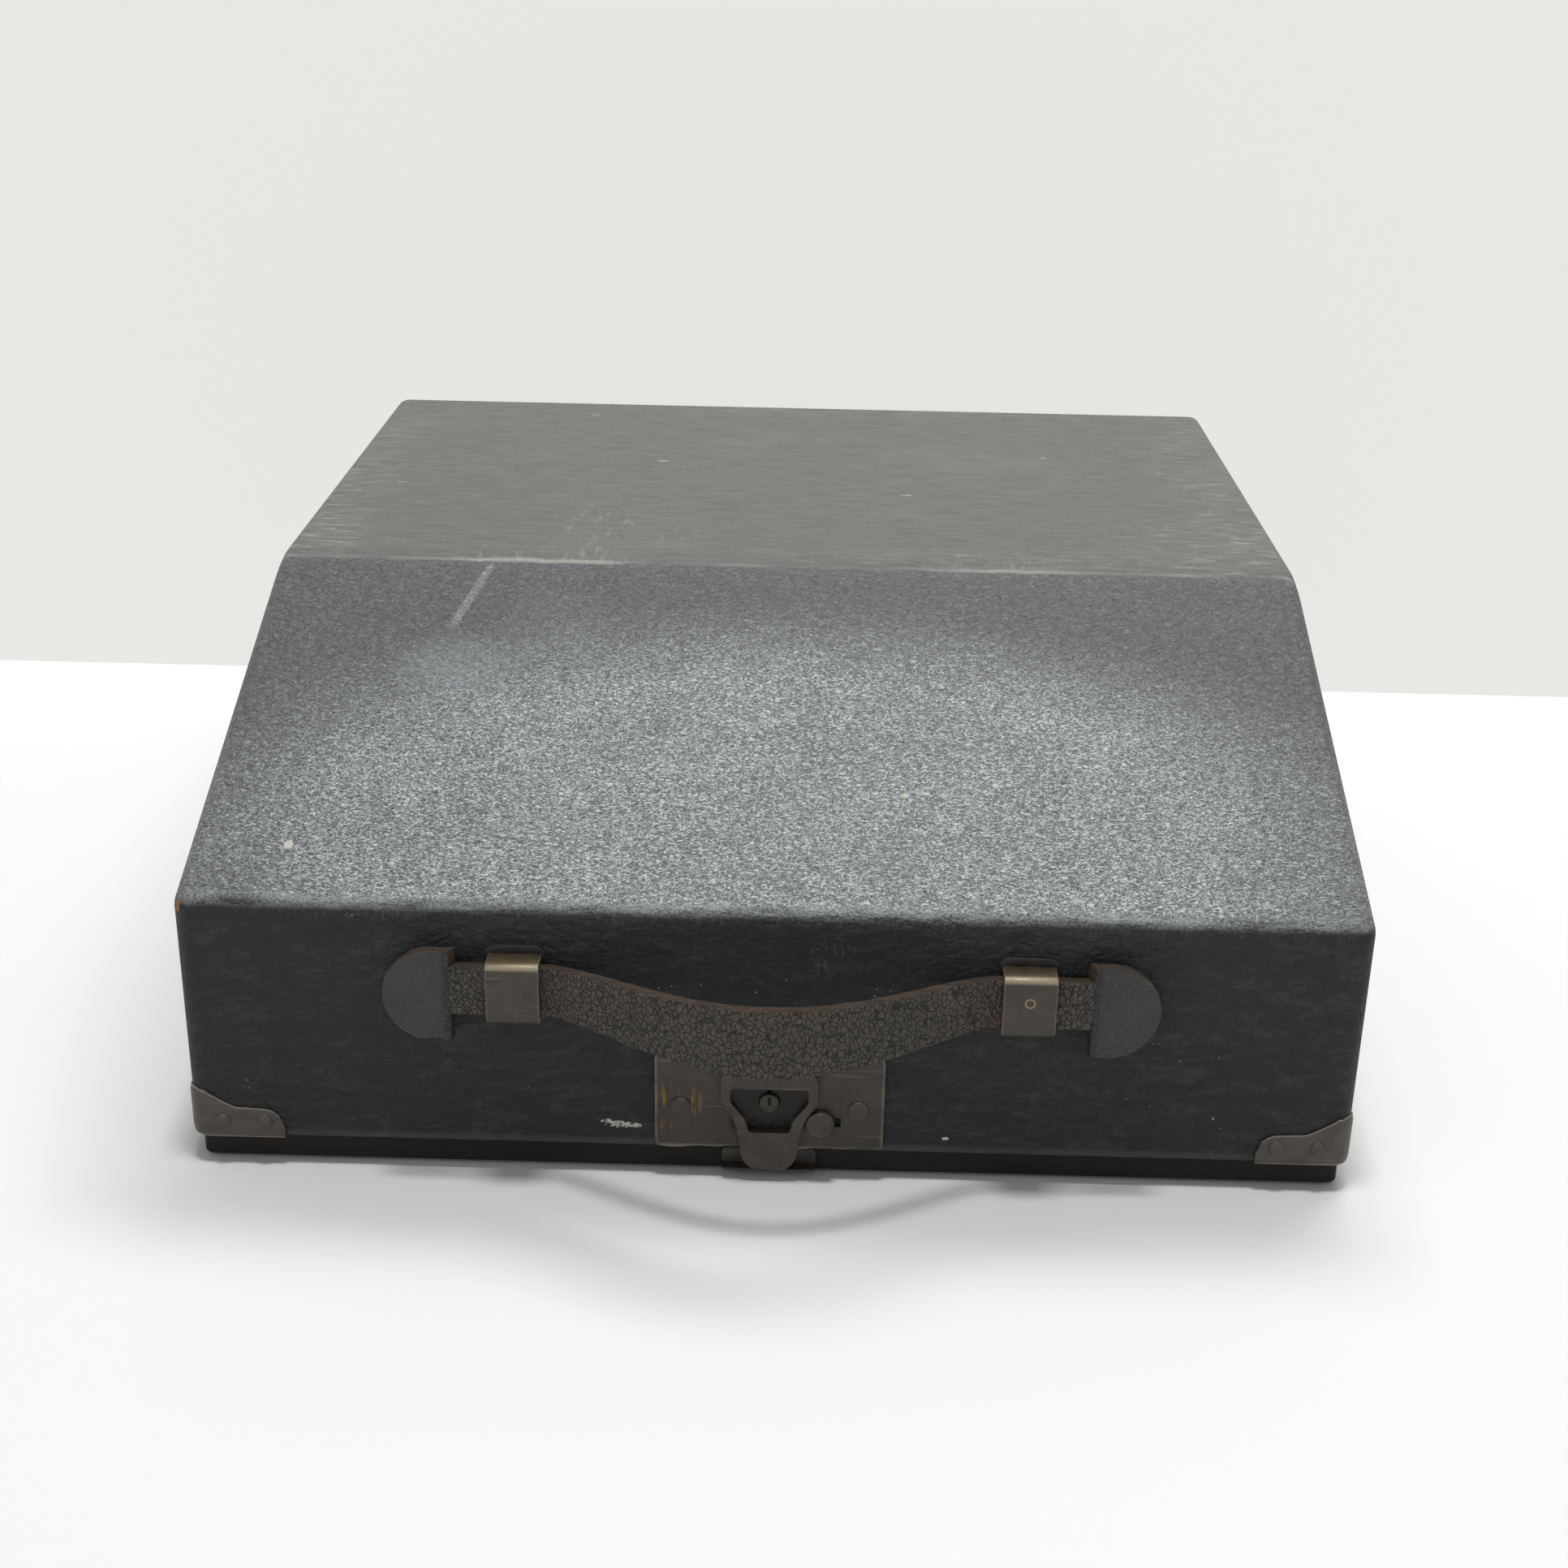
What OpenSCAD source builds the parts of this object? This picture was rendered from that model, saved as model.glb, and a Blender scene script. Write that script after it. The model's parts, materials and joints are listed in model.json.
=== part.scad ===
// Portable typewriter in its shut carrying case, in millimetres.
// X runs across the front, Y from the front to the back, Z up from the table.

/* [Hood] */
// Width of the hood across its front
case_w = 320; // [318:1:360]
// Depth of the hood from front to back
case_d = 350; // [346:1:390]
// Height of the upright front
front_h = 73; // [72:1:95]
// Height of the flat top
hood_h = 125; // [124:1:150]
// Distance from the front to the ridge where the flat top begins
ridge_y = 142.5; // [110:0.5:144]
// Thickness of the covered wooden walls
wall_t = 7.5; // [6:0.5:8]
// Radius of the hood's corners
edge_r = 5; // [3:0.5:6]

/* [Base] */
// Thickness of the base board
board_t = 7.5; // [5:0.5:9]
// How far the board's edge stands back from the hood's faces
board_inset = 2; // [1:0.5:5]
// Height of the feet
foot_h = 1; // [1:0.5:6]
// Radius of a foot
foot_r = 8; // [5:0.5:12]
// Distance of a foot's centre from the board's edges
foot_in = 22; // [14:1:40]
// Thickness of the rim that the hood fits over
rim_t = 5; // [3:0.5:5.5]
// Height of the rim above the board
rim_h = 12; // [6:0.5:14]
// Gap between the rim and the hood's inner faces
rim_gap = 0.8; // [0.7:0.1:1.2]

/* [Hinges] */
// Radius of a hinge pin
pin_r = 1.2; // [0.8:0.1:1.4]
// Radius of a hinge barrel
barrel_r = 2.6; // [2:0.1:2.8]
// Length of a hinge
hinge_w = 40; // [30:1:60]
// Distance of a hinge's middle from the hood's side
hinge_in = 65; // [50:1:100]
// Distance of the hinge axis behind the hood
axis_back = 4; // [3.8:0.1:5]
// Height of a hinge leaf on the hood
leaf_h = 18; // [10:1:30]
// Thickness of a hinge leaf
leaf_t = 1; // [0.6:0.1:1.1]

/* [Corner plates] */
// Thickness of a corner plate
plate_t = 0.8; // [0.5:0.1:1.2]
// Reach of a corner plate along each face
plate_l = 26; // [22:1:36]
// Height of a corner plate at its end
plate_h = 9.5; // [8.5:0.5:12]
// Height of a corner plate at the corner
plate_tip = 15.2; // [14:0.2:20]
// Radius of a corner plate's rivets
plate_rivet_r = 2.2; // [1.5:0.1:2.6]

/* [Lock] */
// Width of the lock plate
lock_w = 62.8; // [56:0.2:72]
// Height of the lock plate
lock_h = 31; // [30:0.5:34]
// Thickness of the lock plate
lock_t = 1.2; // [0.8:0.1:1.6]
// Height of the hasp's pivot above the hood's edge
hasp_z = 27.5; // [26:0.5:29]
// Width of the hasp at its top
hasp_w = 26.6; // [22:0.2:30]
// Width of the hasp's tab at its bottom
tab_w = 15.8; // [12:0.2:18]
// Thickness of the hasp
hasp_t = 1.2; // [0.8:0.1:1.6]
// How far the tab hangs below the hood's edge
tab_drop = 4.6; // [3:0.1:5]
// Radius of the slide button
button_r = 3.9; // [3:0.1:4.6]
// Travel of the slide button
button_travel = 4; // [2:0.5:6]
// Radius of the key barrel
key_r = 2.7; // [2:0.1:3.4]
// Width of the strike plate
strike_w = 26; // [20:0.5:34]
// How far the strike reaches down below the hood's edge
strike_drop = 5.7; // [4.8:0.1:7]

/* [Handle] */
// Distance of a loop's middle from the case's middle
loop_x = 68.5; // [66:0.5:74]
// Width of a loop
loop_w = 14.3; // [12:0.1:15]
// How far a loop stands out from the hood
loop_out = 8.6; // [8.6:0.1:11]
// Thickness of a loop's metal
loop_t = 1.4; // [1:0.1:1.6]
// Height of the strap's middle line in the loops above the hood's edge
strap_z = 50.9; // [50:0.1:54]
// Thickness of the leather
strap_t = 3; // [2:0.1:3.4]
// Width of the strap where it passes the loops
neck_w = 14.2; // [10:0.1:16]
// Width of the grip at its middle
grip_w = 20; // [16:0.5:24]
// How far the grip bulges out at its middle
grip_out = 23.5; // [14:0.5:28]
// How far the grip sags at its middle
grip_sag = 1.2; // [0:0.1:8]
// Length of a half-moon end
end_l = 19.5; // [17:0.5:26]
// Height of a half-moon end
end_h = 27; // [24:0.5:32]
// Slack between a half-moon end and its loop
strap_slack = 8; // [5:0.5:12]
// How far the grip can be pulled out
pull = 17; // [12:0.5:22]

/* [Machine frame] */
// Room between the machine's frame and the hood's side faces
mach_side = 25; // [20:0.5:26]
// Room between the machine's frame and the hood's front face
mach_y = 20; // [19:0.5:26]
// Room between the machine's frame and the hood's rear face
mach_rear = 40; // [32:0.5:44]
// Height of the machine's rubber feet
pad_h = 6; // [5:0.5:9]
// Height of the frame's bottom ring
ring_h = 8; // [6:0.5:8]
// Width of the frame's bottom ring
ring_w = 12; // [8:0.5:14]
// Thickness of the frame's plates
side_t = 2.5; // [1.5:0.5:3]
// Distance of the side plates' rear deck below the platen's axis
deck_drop = 25.5; // [24.5:0.5:27.5]
// Distance of the top cover's underside below the platen's axis
cover_drop = 8.5; // [6.5:0.5:10.5]
// Thickness of the top cover
cover_t = 2; // [1:0.5:2.5]

/* [Keyboard] */
// Room beside the widest bank of keys, from the machine's side
key_side = 21; // [21:0.1:23]
// Distance from one bank to the next, as a share of the machine's depth
bank_share = 0.058; // [0.053:0.001:0.059]
// Rise from one bank to the next
bank_rise = 9; // [7:0.5:9]
// Height of the front bank's key tops
bank_z = 34; // [33:0.5:36]
// Distance of the front bank from the machine's front
bank_y = 22; // [20:0.5:22]
// Radius of a key top
cap_r = 6.8; // [5.5:0.1:7]
// Thickness of a key top
cap_t = 3; // [2:0.5:4]
// Thickness of a key lever
lever_t = 1.6; // [1:0.1:2]
// Height of a key lever's bar
lever_h = 5; // [3.5:0.5:5]
// Height of the key levers' axle
axle_z = 19; // [18:0.5:21]
// Distance of the key levers' axle in front of the platen's axis
axle_run = 7; // [0:0.5:9]
// Radius of the key levers' axle
axle_r = 1.5; // [1:0.1:1.8]
// Running clearance of levers and rollers on their shafts
run_gap = 0.08; // [0.03:0.01:0.1]
// Distance of a shift key from the machine's side
shift_in = 17.5; // [17:0.5:19]
// Distance of the back-space key from the machine's side
back_in = 26.5; // [26:0.5:28]
// Length of the space bar
space_l = 112; // [90:1:130]
// Turn of a key lever when its key is struck, in degrees
key_turn = 3.6; // [2:0.1:4]

/* [Type basket] */
// Number of typebars
bars_n = 42; // [20:2:42]
// Radius of the ring of typebar pivots
basket_r = 41; // [39:0.5:42]
// Distance from the typebar pivots to the printing point, as a share of the machine's depth
strike_share = 0.135; // [0.13:0.001:0.137]
// Thickness of a typebar
bar_t = 1.2; // [0.8:0.1:1.3]
// Half the angle of the fan of typebars
fan = 78; // [70:1:80]

/* [Carriage] */
// Radius of the platen
platen_r = 16; // [14:0.5:16]
// Distance of the carriage's end plates from the machine's side
carriage_in = 17; // [16:1:35]
// Distance of the platen's axis below the inner face of the hood's flat top
platen_drop = 25; // [24:0.5:25.5]
// Place of the platen's axis behind the machine's front, as a share of the machine's depth
platen_share = 0.73; // [0.728:0.001:0.735]
// Thickness of the carriage's end plates
end_t = 3; // [2:0.5:3]
// Radius of a platen knob
knob_r = 13; // [9:0.5:14]
// Thickness of a platen knob
knob_t = 9.5; // [6:0.5:10]
// Radius of a carriage rail
rail_r = 3; // [2:0.5:4]
// Distance of the carriage rails below the platen's axis
rail_drop = 31.5; // [30.5:0.5:33.5]
// Radius of a feed roller
feed_r = 5; // [4:0.5:5.5]
// Length of the paper's feed rollers
feed_l = 20; // [12:1:30]

/* [Behind the carriage] */
// Distance of the margin rail from the machine's rear
margin_in = 12; // [11:0.5:13]
// Distance of the margin rail's ends from the machine's sides
margin_side = 39; // [35:1:50]
// Radius of the margin rail
margin_r = 2.5; // [2:0.5:3]
// Distance of a margin stop from the middle
stop_x = 50; // [20:1:70]
// Length of a margin stop
stop_l = 12; // [8:1:16]
// Room above and below the mainspring's drum
drum_gap = 4.5; // [3.5:0.5:8]
// Depth of the mainspring's drum
drum_t = 14; // [10:1:15]
// Distance of the drum's axis from the machine's side
drum_in = 43; // [40:1:48]

/* [Ribbon] */
// Radius of a ribbon spool
spool_r = 21; // [15:0.5:22]
// Height of a ribbon spool
spool_h = 13; // [10:0.5:14]
// Distance of a spool's axis from the machine's side
spool_in = 34; // [32:0.5:37]

/* [Hidden] */
$fn = 64;

// Places that the whole part shares
hood_z = foot_h + board_t;
plate_back = 1;
strap_y = -(loop_out + plate_back) / 2 + 0.3;
grip_front = -strap_y + strap_t / 2 + grip_out;
barrel_back = axis_back + barrel_r;
front_y = (grip_front - case_d - barrel_back) / 2;
slope = (hood_h - front_h) / ridge_y;
slope_wall = wall_t * sqrt(1 + slope * slope);
inner_ridge = (hood_h - wall_t - front_h + slope_wall) / slope;
mach_w = case_w - 2 * mach_side;
mach_d = case_d - mach_y - mach_rear;
platen_y = mach_d * platen_share;
axle_y = platen_y - axle_run;
platen_z = hood_h - wall_t - platen_drop;
cover_z = platen_z - cover_drop;
deck_z = platen_z - deck_drop;
rail_z = platen_z - rail_drop;

module at_hood() translate([0, front_y, hood_z]) children();
module at_machine() translate([0, front_y + mach_y, hood_z]) children();
module both_sides() {
    children();
    mirror([1, 0, 0]) children();
}

function arc(c, r, a0, a1, n = 8) =
    [for (i = [0 : n]) c + r * [cos(a0 + (a1 - a0) * i / n), sin(a0 + (a1 - a0) * i / n)]];

// A rectangle with round corners, centred on X and standing on Y = 0
module round_plate(w, h, r) {
    translate([-w / 2 + r, 0]) square([w - 2 * r, h]);
    translate([-w / 2, r]) square([w, h - 2 * r]);
    for (x = [-1, 1], y = [r, h - r]) translate([x * (w / 2 - r), y]) circle(r);
}

// A side view, drawn as [Y, Z], made into a plate that is centred on X
module across(w) {
    rotate([90, 0, 90]) translate([0, 0, -w / 2]) linear_extrude(w) children();
}

// A front view, drawn as [X, Z], made into a plate from Y = y0 back to Y = y1
module upright(y0, y1) {
    translate([0, y1, 0]) rotate([90, 0, 0]) linear_extrude(y1 - y0) children();
}

// The case
module hood_plan(grow) {
    translate([0, -grow]) round_plate(case_w + 2 * grow, case_d + 2 * grow, edge_r + grow);
}

module hood_shell() {
    soft_r = edge_r * 0.8;
    tip = atan(slope);
    outside = concat(
        [[0, 0]],
        arc([soft_r, front_h - soft_r * tan(45 - tip / 2)], soft_r, 180, 90 + tip, 5),
        arc([ridge_y + 3 * soft_r * tan(tip / 2), hood_h - 3 * soft_r], 3 * soft_r, 90 + tip, 90, 3),
        arc([case_d - soft_r, hood_h - soft_r], soft_r, 90, 0, 5),
        [[case_d, 0]]
    );
    inside = [
        [wall_t, -1], [wall_t, front_h - slope_wall + slope * wall_t],
        [inner_ridge, hood_h - wall_t], [case_d - wall_t, hood_h - wall_t], [case_d - wall_t, -1]
    ];
    color("#26292c") at_hood() difference() {
        intersection() {
            across(case_w) polygon(outside);
            linear_extrude(hood_h) hood_plan(0);
        }
        across(case_w - 2 * wall_t) polygon(inside);
    }
}

// A corner plate's face, drawn from the corner edge along +X
function plate_outline() =
    let (notch_r = 7, end_r = 4)
    concat(
        [[0, 0], [plate_l - 1, 0]],
        arc([plate_l - end_r, plate_h - end_r], end_r, 0, 90),
        arc([notch_r, plate_h + 1 + notch_r], notch_r, 270, 200, 5),
        [[0, plate_tip]]
    );

module corner_plate() {
    reach = edge_r + plate_t;
    corner = case_w / 2 + plate_t;
    intersection() {
        linear_extrude(plate_tip + 1) difference() {
            hood_plan(plate_t);
            hood_plan(0);
        }
        union() {
            translate([corner, 0, 0]) mirror([1, 0, 0]) upright(-plate_t, edge_r) polygon(plate_outline());
            translate([corner - reach, -plate_t, 0]) rotate([90, 0, 90]) linear_extrude(reach)
                polygon(plate_outline());
        }
    }
}

module place_corner(left, rear) {
    at_hood() translate([0, rear * case_d, 0]) mirror([0, rear, 0]) mirror([left, 0, 0]) children();
}

module corner_plate_front_left() {
    color("#3a3d40") place_corner(1, 0) corner_plate();
}

module corner_plate_front_right() {
    color("#3a3d40") place_corner(0, 0) corner_plate();
}

module corner_plate_rear_left() {
    color("#3a3d40") place_corner(1, 1) corner_plate();
}

module corner_plate_rear_right() {
    color("#3a3d40") place_corner(0, 1) corner_plate();
}

// A domed rivet head of radius r that stands up from Z = 0
module rivet(r) {
    dome = r * 0.35;
    big_r = (r * r + dome * dome) / (2 * dome);
    rotate_extrude() polygon(concat([[0, 0]], arc([0, dome - big_r], big_r, 90 - asin(r / big_r), 90, 5)));
}

module corner_rivets() {
    rows = [plate_l - 5.5, plate_l - 17];
    rivet_z = plate_h * 0.56;
    color("#55585a") for (left = [0, 1], rear = [0, 1], u = rows) place_corner(left, rear) {
        translate([case_w / 2 - u, -plate_t, rivet_z]) rotate([90, 0, 0]) rivet(plate_rivet_r);
        translate([case_w / 2 + plate_t, u, rivet_z]) rotate([0, 90, 0]) rivet(plate_rivet_r);
    }
}

// The lock
hasp_gap = 0.5;
hasp_y = -lock_t - hasp_gap - hasp_t / 2;
knuckle_r = 1.7;
knuckle_l = 6;
hasp_pin_r = 0.7;
key_z = 16.1;
button_x = 14.1;
button_z = 10;
stem_r = 1.2;
lock_rivet_x = 24.4;
lock_rivet_z = 14;

module lock_plate() {
    color("#5b5a55") at_hood() {
        difference() {
            translate([0, 0, 1]) upright(-lock_t, 0) round_plate(lock_w, lock_h, 3);
            translate([-knuckle_l / 2 - hasp_gap, -lock_t - 1, hasp_z - knuckle_r - hasp_gap])
                cube([knuckle_l + 2 * hasp_gap, lock_t + 2, 2 * (knuckle_r + hasp_gap)]);
            translate([0, 1, key_z]) rotate([90, 0, 0]) cylinder(r = key_r + run_gap, h = lock_t + 2);
            translate([0, 0, button_z]) upright(-lock_t - 1, 1) {
                translate([button_x - stem_r - 0.3, -stem_r - 0.3])
                    square([button_travel + 2 * stem_r + 0.6, 2 * stem_r + 0.6]);
            }
        }
        both_sides() translate([knuckle_l / 2 + hasp_gap, hasp_y, hasp_z]) difference() {
            union() {
                rotate([0, 90, 0]) cylinder(r = knuckle_r, h = knuckle_l);
                translate([0, 0, -knuckle_r]) cube([knuckle_l, -hasp_y - lock_t / 2, 2 * knuckle_r]);
            }
            translate([-1, 0, 0]) rotate([0, 90, 0]) cylinder(r = hasp_pin_r + run_gap, h = knuckle_l + 2);
        }
    }
}

module lock_rivets() {
    color("#6d675a") at_hood() both_sides() translate([lock_rivet_x, -lock_t, lock_rivet_z])
        rotate([90, 0, 0]) rivet(2.9);
}

module lock_barrel() {
    color("#77736a") at_hood() translate([0, 0, key_z]) rotate([90, 0, 0]) difference() {
        cylinder(r = key_r, h = lock_t + 0.8);
        translate([-0.4, -1.6, 0.8]) cube([0.8, 3.6, lock_t + 1]);
    }
}

module hasp() {
    arm_w = 2.5;
    half = hasp_w / 2;
    waist = hasp_w * 0.342;
    shoulder_z = 10.8;
    bar_z = hasp_z - knuckle_r - 0.4;
    win_top = 21.5;
    win_bottom = 7.1;
    tab_r = 4;
    tab_half = tab_w / 2;
    color("#5a5852") at_hood() {
        translate([0, hasp_y, 0]) upright(-hasp_t / 2, hasp_t / 2) difference() {
            polygon(concat(
                [[-half, bar_z], [-half, win_top + 1.5], [-waist, shoulder_z], [-tab_half, 3.7]],
                arc([-tab_half + tab_r, -tab_drop + tab_r], tab_r, 180, 270),
                arc([tab_half - tab_r, -tab_drop + tab_r], tab_r, 270, 360),
                [[tab_half, 3.7], [waist, shoulder_z], [half, win_top + 1.5], [half, bar_z]]
            ));
            polygon([
                [-half + arm_w, win_top], [-waist + arm_w + 0.6, shoulder_z], [-tab_half + arm_w, win_bottom],
                [tab_half - arm_w, win_bottom], [waist - arm_w - 0.6, shoulder_z], [half - arm_w, win_top]
            ]);
        }
        translate([-knuckle_l / 2, hasp_y, hasp_z]) {
            rotate([0, 90, 0]) cylinder(r = knuckle_r, h = knuckle_l);
            translate([0, -hasp_t / 2, -knuckle_r - 1]) cube([knuckle_l, hasp_t, knuckle_r + 1]);
            translate([-knuckle_l, 0, 0]) rotate([0, 90, 0]) cylinder(r = hasp_pin_r, h = 3 * knuckle_l);
        }
    }
}

module lock_button() {
    color("#6a675f") at_hood() translate([button_x, 0, button_z]) rotate([90, 0, 0]) {
        cylinder(r = stem_r, h = lock_t + 0.5);
        translate([0, 0, lock_t + 0.1]) cylinder(r = button_r, h = 2);
    }
}

module strike_plate() {
    lip_z = -strike_drop;
    metal = 0.8;
    color("#4f4d48") at_hood() across(strike_w) polygon([
        [board_inset, lip_z], [board_inset, -0.3], [board_inset - metal, -0.3],
        [board_inset - metal, lip_z + metal], [-2, lip_z + metal], [-2, lip_z]
    ]);
}

// The handle
loop_h = neck_w + 0.8 + 2 * loop_t;
end_x = loop_x + loop_w / 2 + strap_slack + 0.5;
grip_x = loop_x - loop_w / 2 - 2.2;
slant = strap_slack / pull;

module loop_back_plates() {
    plate_h = loop_h + 4.5;
    color("#5a5852") at_hood() both_sides() translate([loop_x, 0, strap_z - plate_h / 2])
        upright(-plate_back, 0) round_plate(loop_w + 1.6, plate_h, 2.5);
}

module handle_loop() {
    bend_r = 2;
    depth = loop_out - plate_back;
    at_hood() translate([loop_x, 0, strap_z - loop_h / 2]) across(loop_w) difference() {
        polygon(concat(
            [[-plate_back, 0]],
            arc([-loop_out + bend_r, bend_r], bend_r, 270, 180, 5),
            arc([-loop_out + bend_r, loop_h - bend_r], bend_r, 180, 90, 5),
            [[-plate_back, loop_h]]
        ));
        translate([-depth - plate_back + loop_t, loop_t]) square([depth, loop_h - 2 * loop_t]);
    }
}

module handle_loop_left() {
    color("#6b655b") mirror([1, 0, 0]) handle_loop();
}

module handle_loop_right() {
    color("#6b655b") handle_loop();
}

// How much of the bulge and the sag, and of the extra width, the grip has at a place along it
function swell(x) = pow((1 + cos(180 * x / grip_x)) / 2, 0.62);
function spread(x) = 1 - pow(min(1, abs(x) / grip_x), 1.3);

module handle_grip() {
    steps = 20;
    ring_n = 16;
    sections = [for (i = [0 : steps]) let (
        x = -grip_x + 2 * grip_x * i / steps,
        s = swell(x),
        w = neck_w + (grip_w - neck_w) * spread(x),
        lean = (i == 0 ? -slant : i == steps ? slant : 0)
    ) [for (j = [0 : ring_n - 1]) let (
        a = 360 * j / ring_n,
        y = strap_t / 2 * sign(cos(a)) * sqrt(abs(cos(a))),
        z = w / 2 * sign(sin(a)) * sqrt(abs(sin(a)))
    ) [x - lean * y, strap_y - grip_out * s + y, strap_z - grip_sag * s + z]]];
    points = [for (section = sections) each section];
    sides = [for (i = [0 : steps - 1], j = [0 : ring_n - 1]) let (
        a = i * ring_n + j,
        b = i * ring_n + (j + 1) % ring_n
    ) each [[a, b, b + ring_n], [a, b + ring_n, a + ring_n]]];
    first = [for (j = [ring_n - 1 : -1 : 0]) j];
    last = [for (j = [0 : ring_n - 1]) steps * ring_n + j];
    color("#3b302a") at_hood() polyhedron(points, concat([first], sides, [last]));
}

module strap_end() {
    tip_gap = 0.5;
    tip_x = grip_x + tip_gap;
    round_r = end_h / 2;
    lean = slant * strap_t / 2;
    color("#4a4038") at_hood() {
        upright(strap_y - strap_t / 2, strap_y + strap_t / 2) {
            translate([end_x, strap_z - 2 - round_r]) square([end_l - round_r, end_h]);
            intersection() {
                translate([end_x + end_l - round_r, strap_z - 2]) circle(round_r);
                translate([end_x + end_l - round_r, strap_z - 2 - round_r]) square([round_r, end_h]);
            }
        }
        translate([0, strap_y, strap_z - neck_w / 2]) linear_extrude(neck_w) polygon([
            [tip_x + lean, -strap_t / 2], [end_x + 2, -strap_t / 2],
            [end_x + 2, strap_t / 2], [tip_x - lean, strap_t / 2]
        ]);
    }
}

module strap_end_left() {
    mirror([1, 0, 0]) strap_end();
}

module strap_end_right() {
    strap_end();
}

// The rear hinges, five barrels each, the outer and the middle ones on the base
barrel_gap = 0.2;
hinge_x = case_w / 2 - hinge_in;
barrel_l = hinge_w / 5;

module barrels(own) {
    for (side = [-1, 1], i = own) translate([side * hinge_x - hinge_w / 2 + i * barrel_l, 0, 0])
        translate([barrel_gap / 2, 0, 0]) children();
}

module hinge_barrel() {
    rotate([0, 90, 0]) difference() {
        cylinder(r = barrel_r, h = barrel_l - barrel_gap);
        translate([0, 0, -1]) cylinder(r = pin_r + run_gap, h = barrel_l + 2);
    }
}

module at_axis() at_hood() translate([0, case_d + axis_back, 0]) children();

module hood_hinge_leaves() {
    arm = axis_back - pin_r - 0.6;
    color("#4b4a46") at_axis() {
        barrels([1, 3]) {
            hinge_barrel();
            translate([0, -axis_back, pin_r + 0.4]) cube([barrel_l - barrel_gap, arm + 0.6, barrel_r - pin_r]);
        }
        for (side = [-1, 1]) translate([side * hinge_x - hinge_w / 2, -axis_back, pin_r + 0.4 + barrel_r - pin_r - 1])
            cube([hinge_w, leaf_t, leaf_h]);
    }
}

module base_hinge_leaves() {
    leaf_z = -board_t + 0.3;
    web_t = barrel_r - pin_r - 0.3;
    edge_y = -axis_back - board_inset;
    color("#4b4a46") at_axis() {
        barrels([0, 2, 4]) {
            hinge_barrel();
            translate([0, edge_y, -barrel_r]) cube([barrel_l - barrel_gap, -edge_y, web_t]);
        }
        for (side = [-1, 1]) translate([side * hinge_x - hinge_w / 2, edge_y, leaf_z])
            cube([hinge_w, leaf_t, -leaf_z - barrel_r + web_t]);
    }
}

module hinge_pins() {
    color("#6b6a66") at_axis() for (side = [-1, 1]) translate([side * hinge_x - hinge_w / 2, 0, 0])
        rotate([0, 90, 0]) cylinder(r = pin_r, h = hinge_w);
}

// The base
module board_plan(inset, r) {
    translate([0, inset]) round_plate(case_w - 2 * inset, case_d - 2 * inset, r);
}

module base_board() {
    color("#2b2a28") translate([0, front_y, foot_h]) linear_extrude(board_t) board_plan(board_inset, 2);
}

module base_rim() {
    color("#6e5a44") at_hood() linear_extrude(rim_h) difference() {
        board_plan(wall_t + rim_gap, 1);
        board_plan(wall_t + rim_gap + rim_t, 1);
    }
}

module case_feet() {
    color("#191919") both_sides() for (y = [board_inset + foot_in, case_d - board_inset - foot_in])
        translate([case_w / 2 - board_inset - foot_in, front_y + y, 0]) cylinder(r = foot_r, h = foot_h);
}

// The machine's stand and frame
pads_y = [30, mach_d - 30];
pad_r = 9;
bracket_t = 1.5;
bracket_l = 9;
bracket_h = 20;
ring_top = pad_h + ring_h;
shaft_z = rail_z - 7;
shaft_r = 2;
dog_z = shaft_z - 18;
dog_pin_r = 1.5;

module machine_feet() {
    color("#1d1d1d") at_machine() both_sides() for (y = pads_y)
        translate([mach_w / 2 - ring_w / 2 - 3, y, 0]) cylinder(r = pad_r, h = pad_h);
}

// Angle brackets that hold the machine's sides on the board
module machine_brackets() {
    foot_w = 14;
    color("#77756e") at_machine() both_sides() for (y = [mach_d * 0.25, mach_d * 0.75])
        translate([mach_w / 2, y - foot_w / 2, 0]) rotate([90, 0, 0]) mirror([0, 0, 1]) linear_extrude(foot_w)
            polygon([
                [0, 0], [bracket_l, 0], [bracket_l, bracket_t], [bracket_t, bracket_t],
                [bracket_t, bracket_h], [0, bracket_h]
            ]);
}

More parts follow.
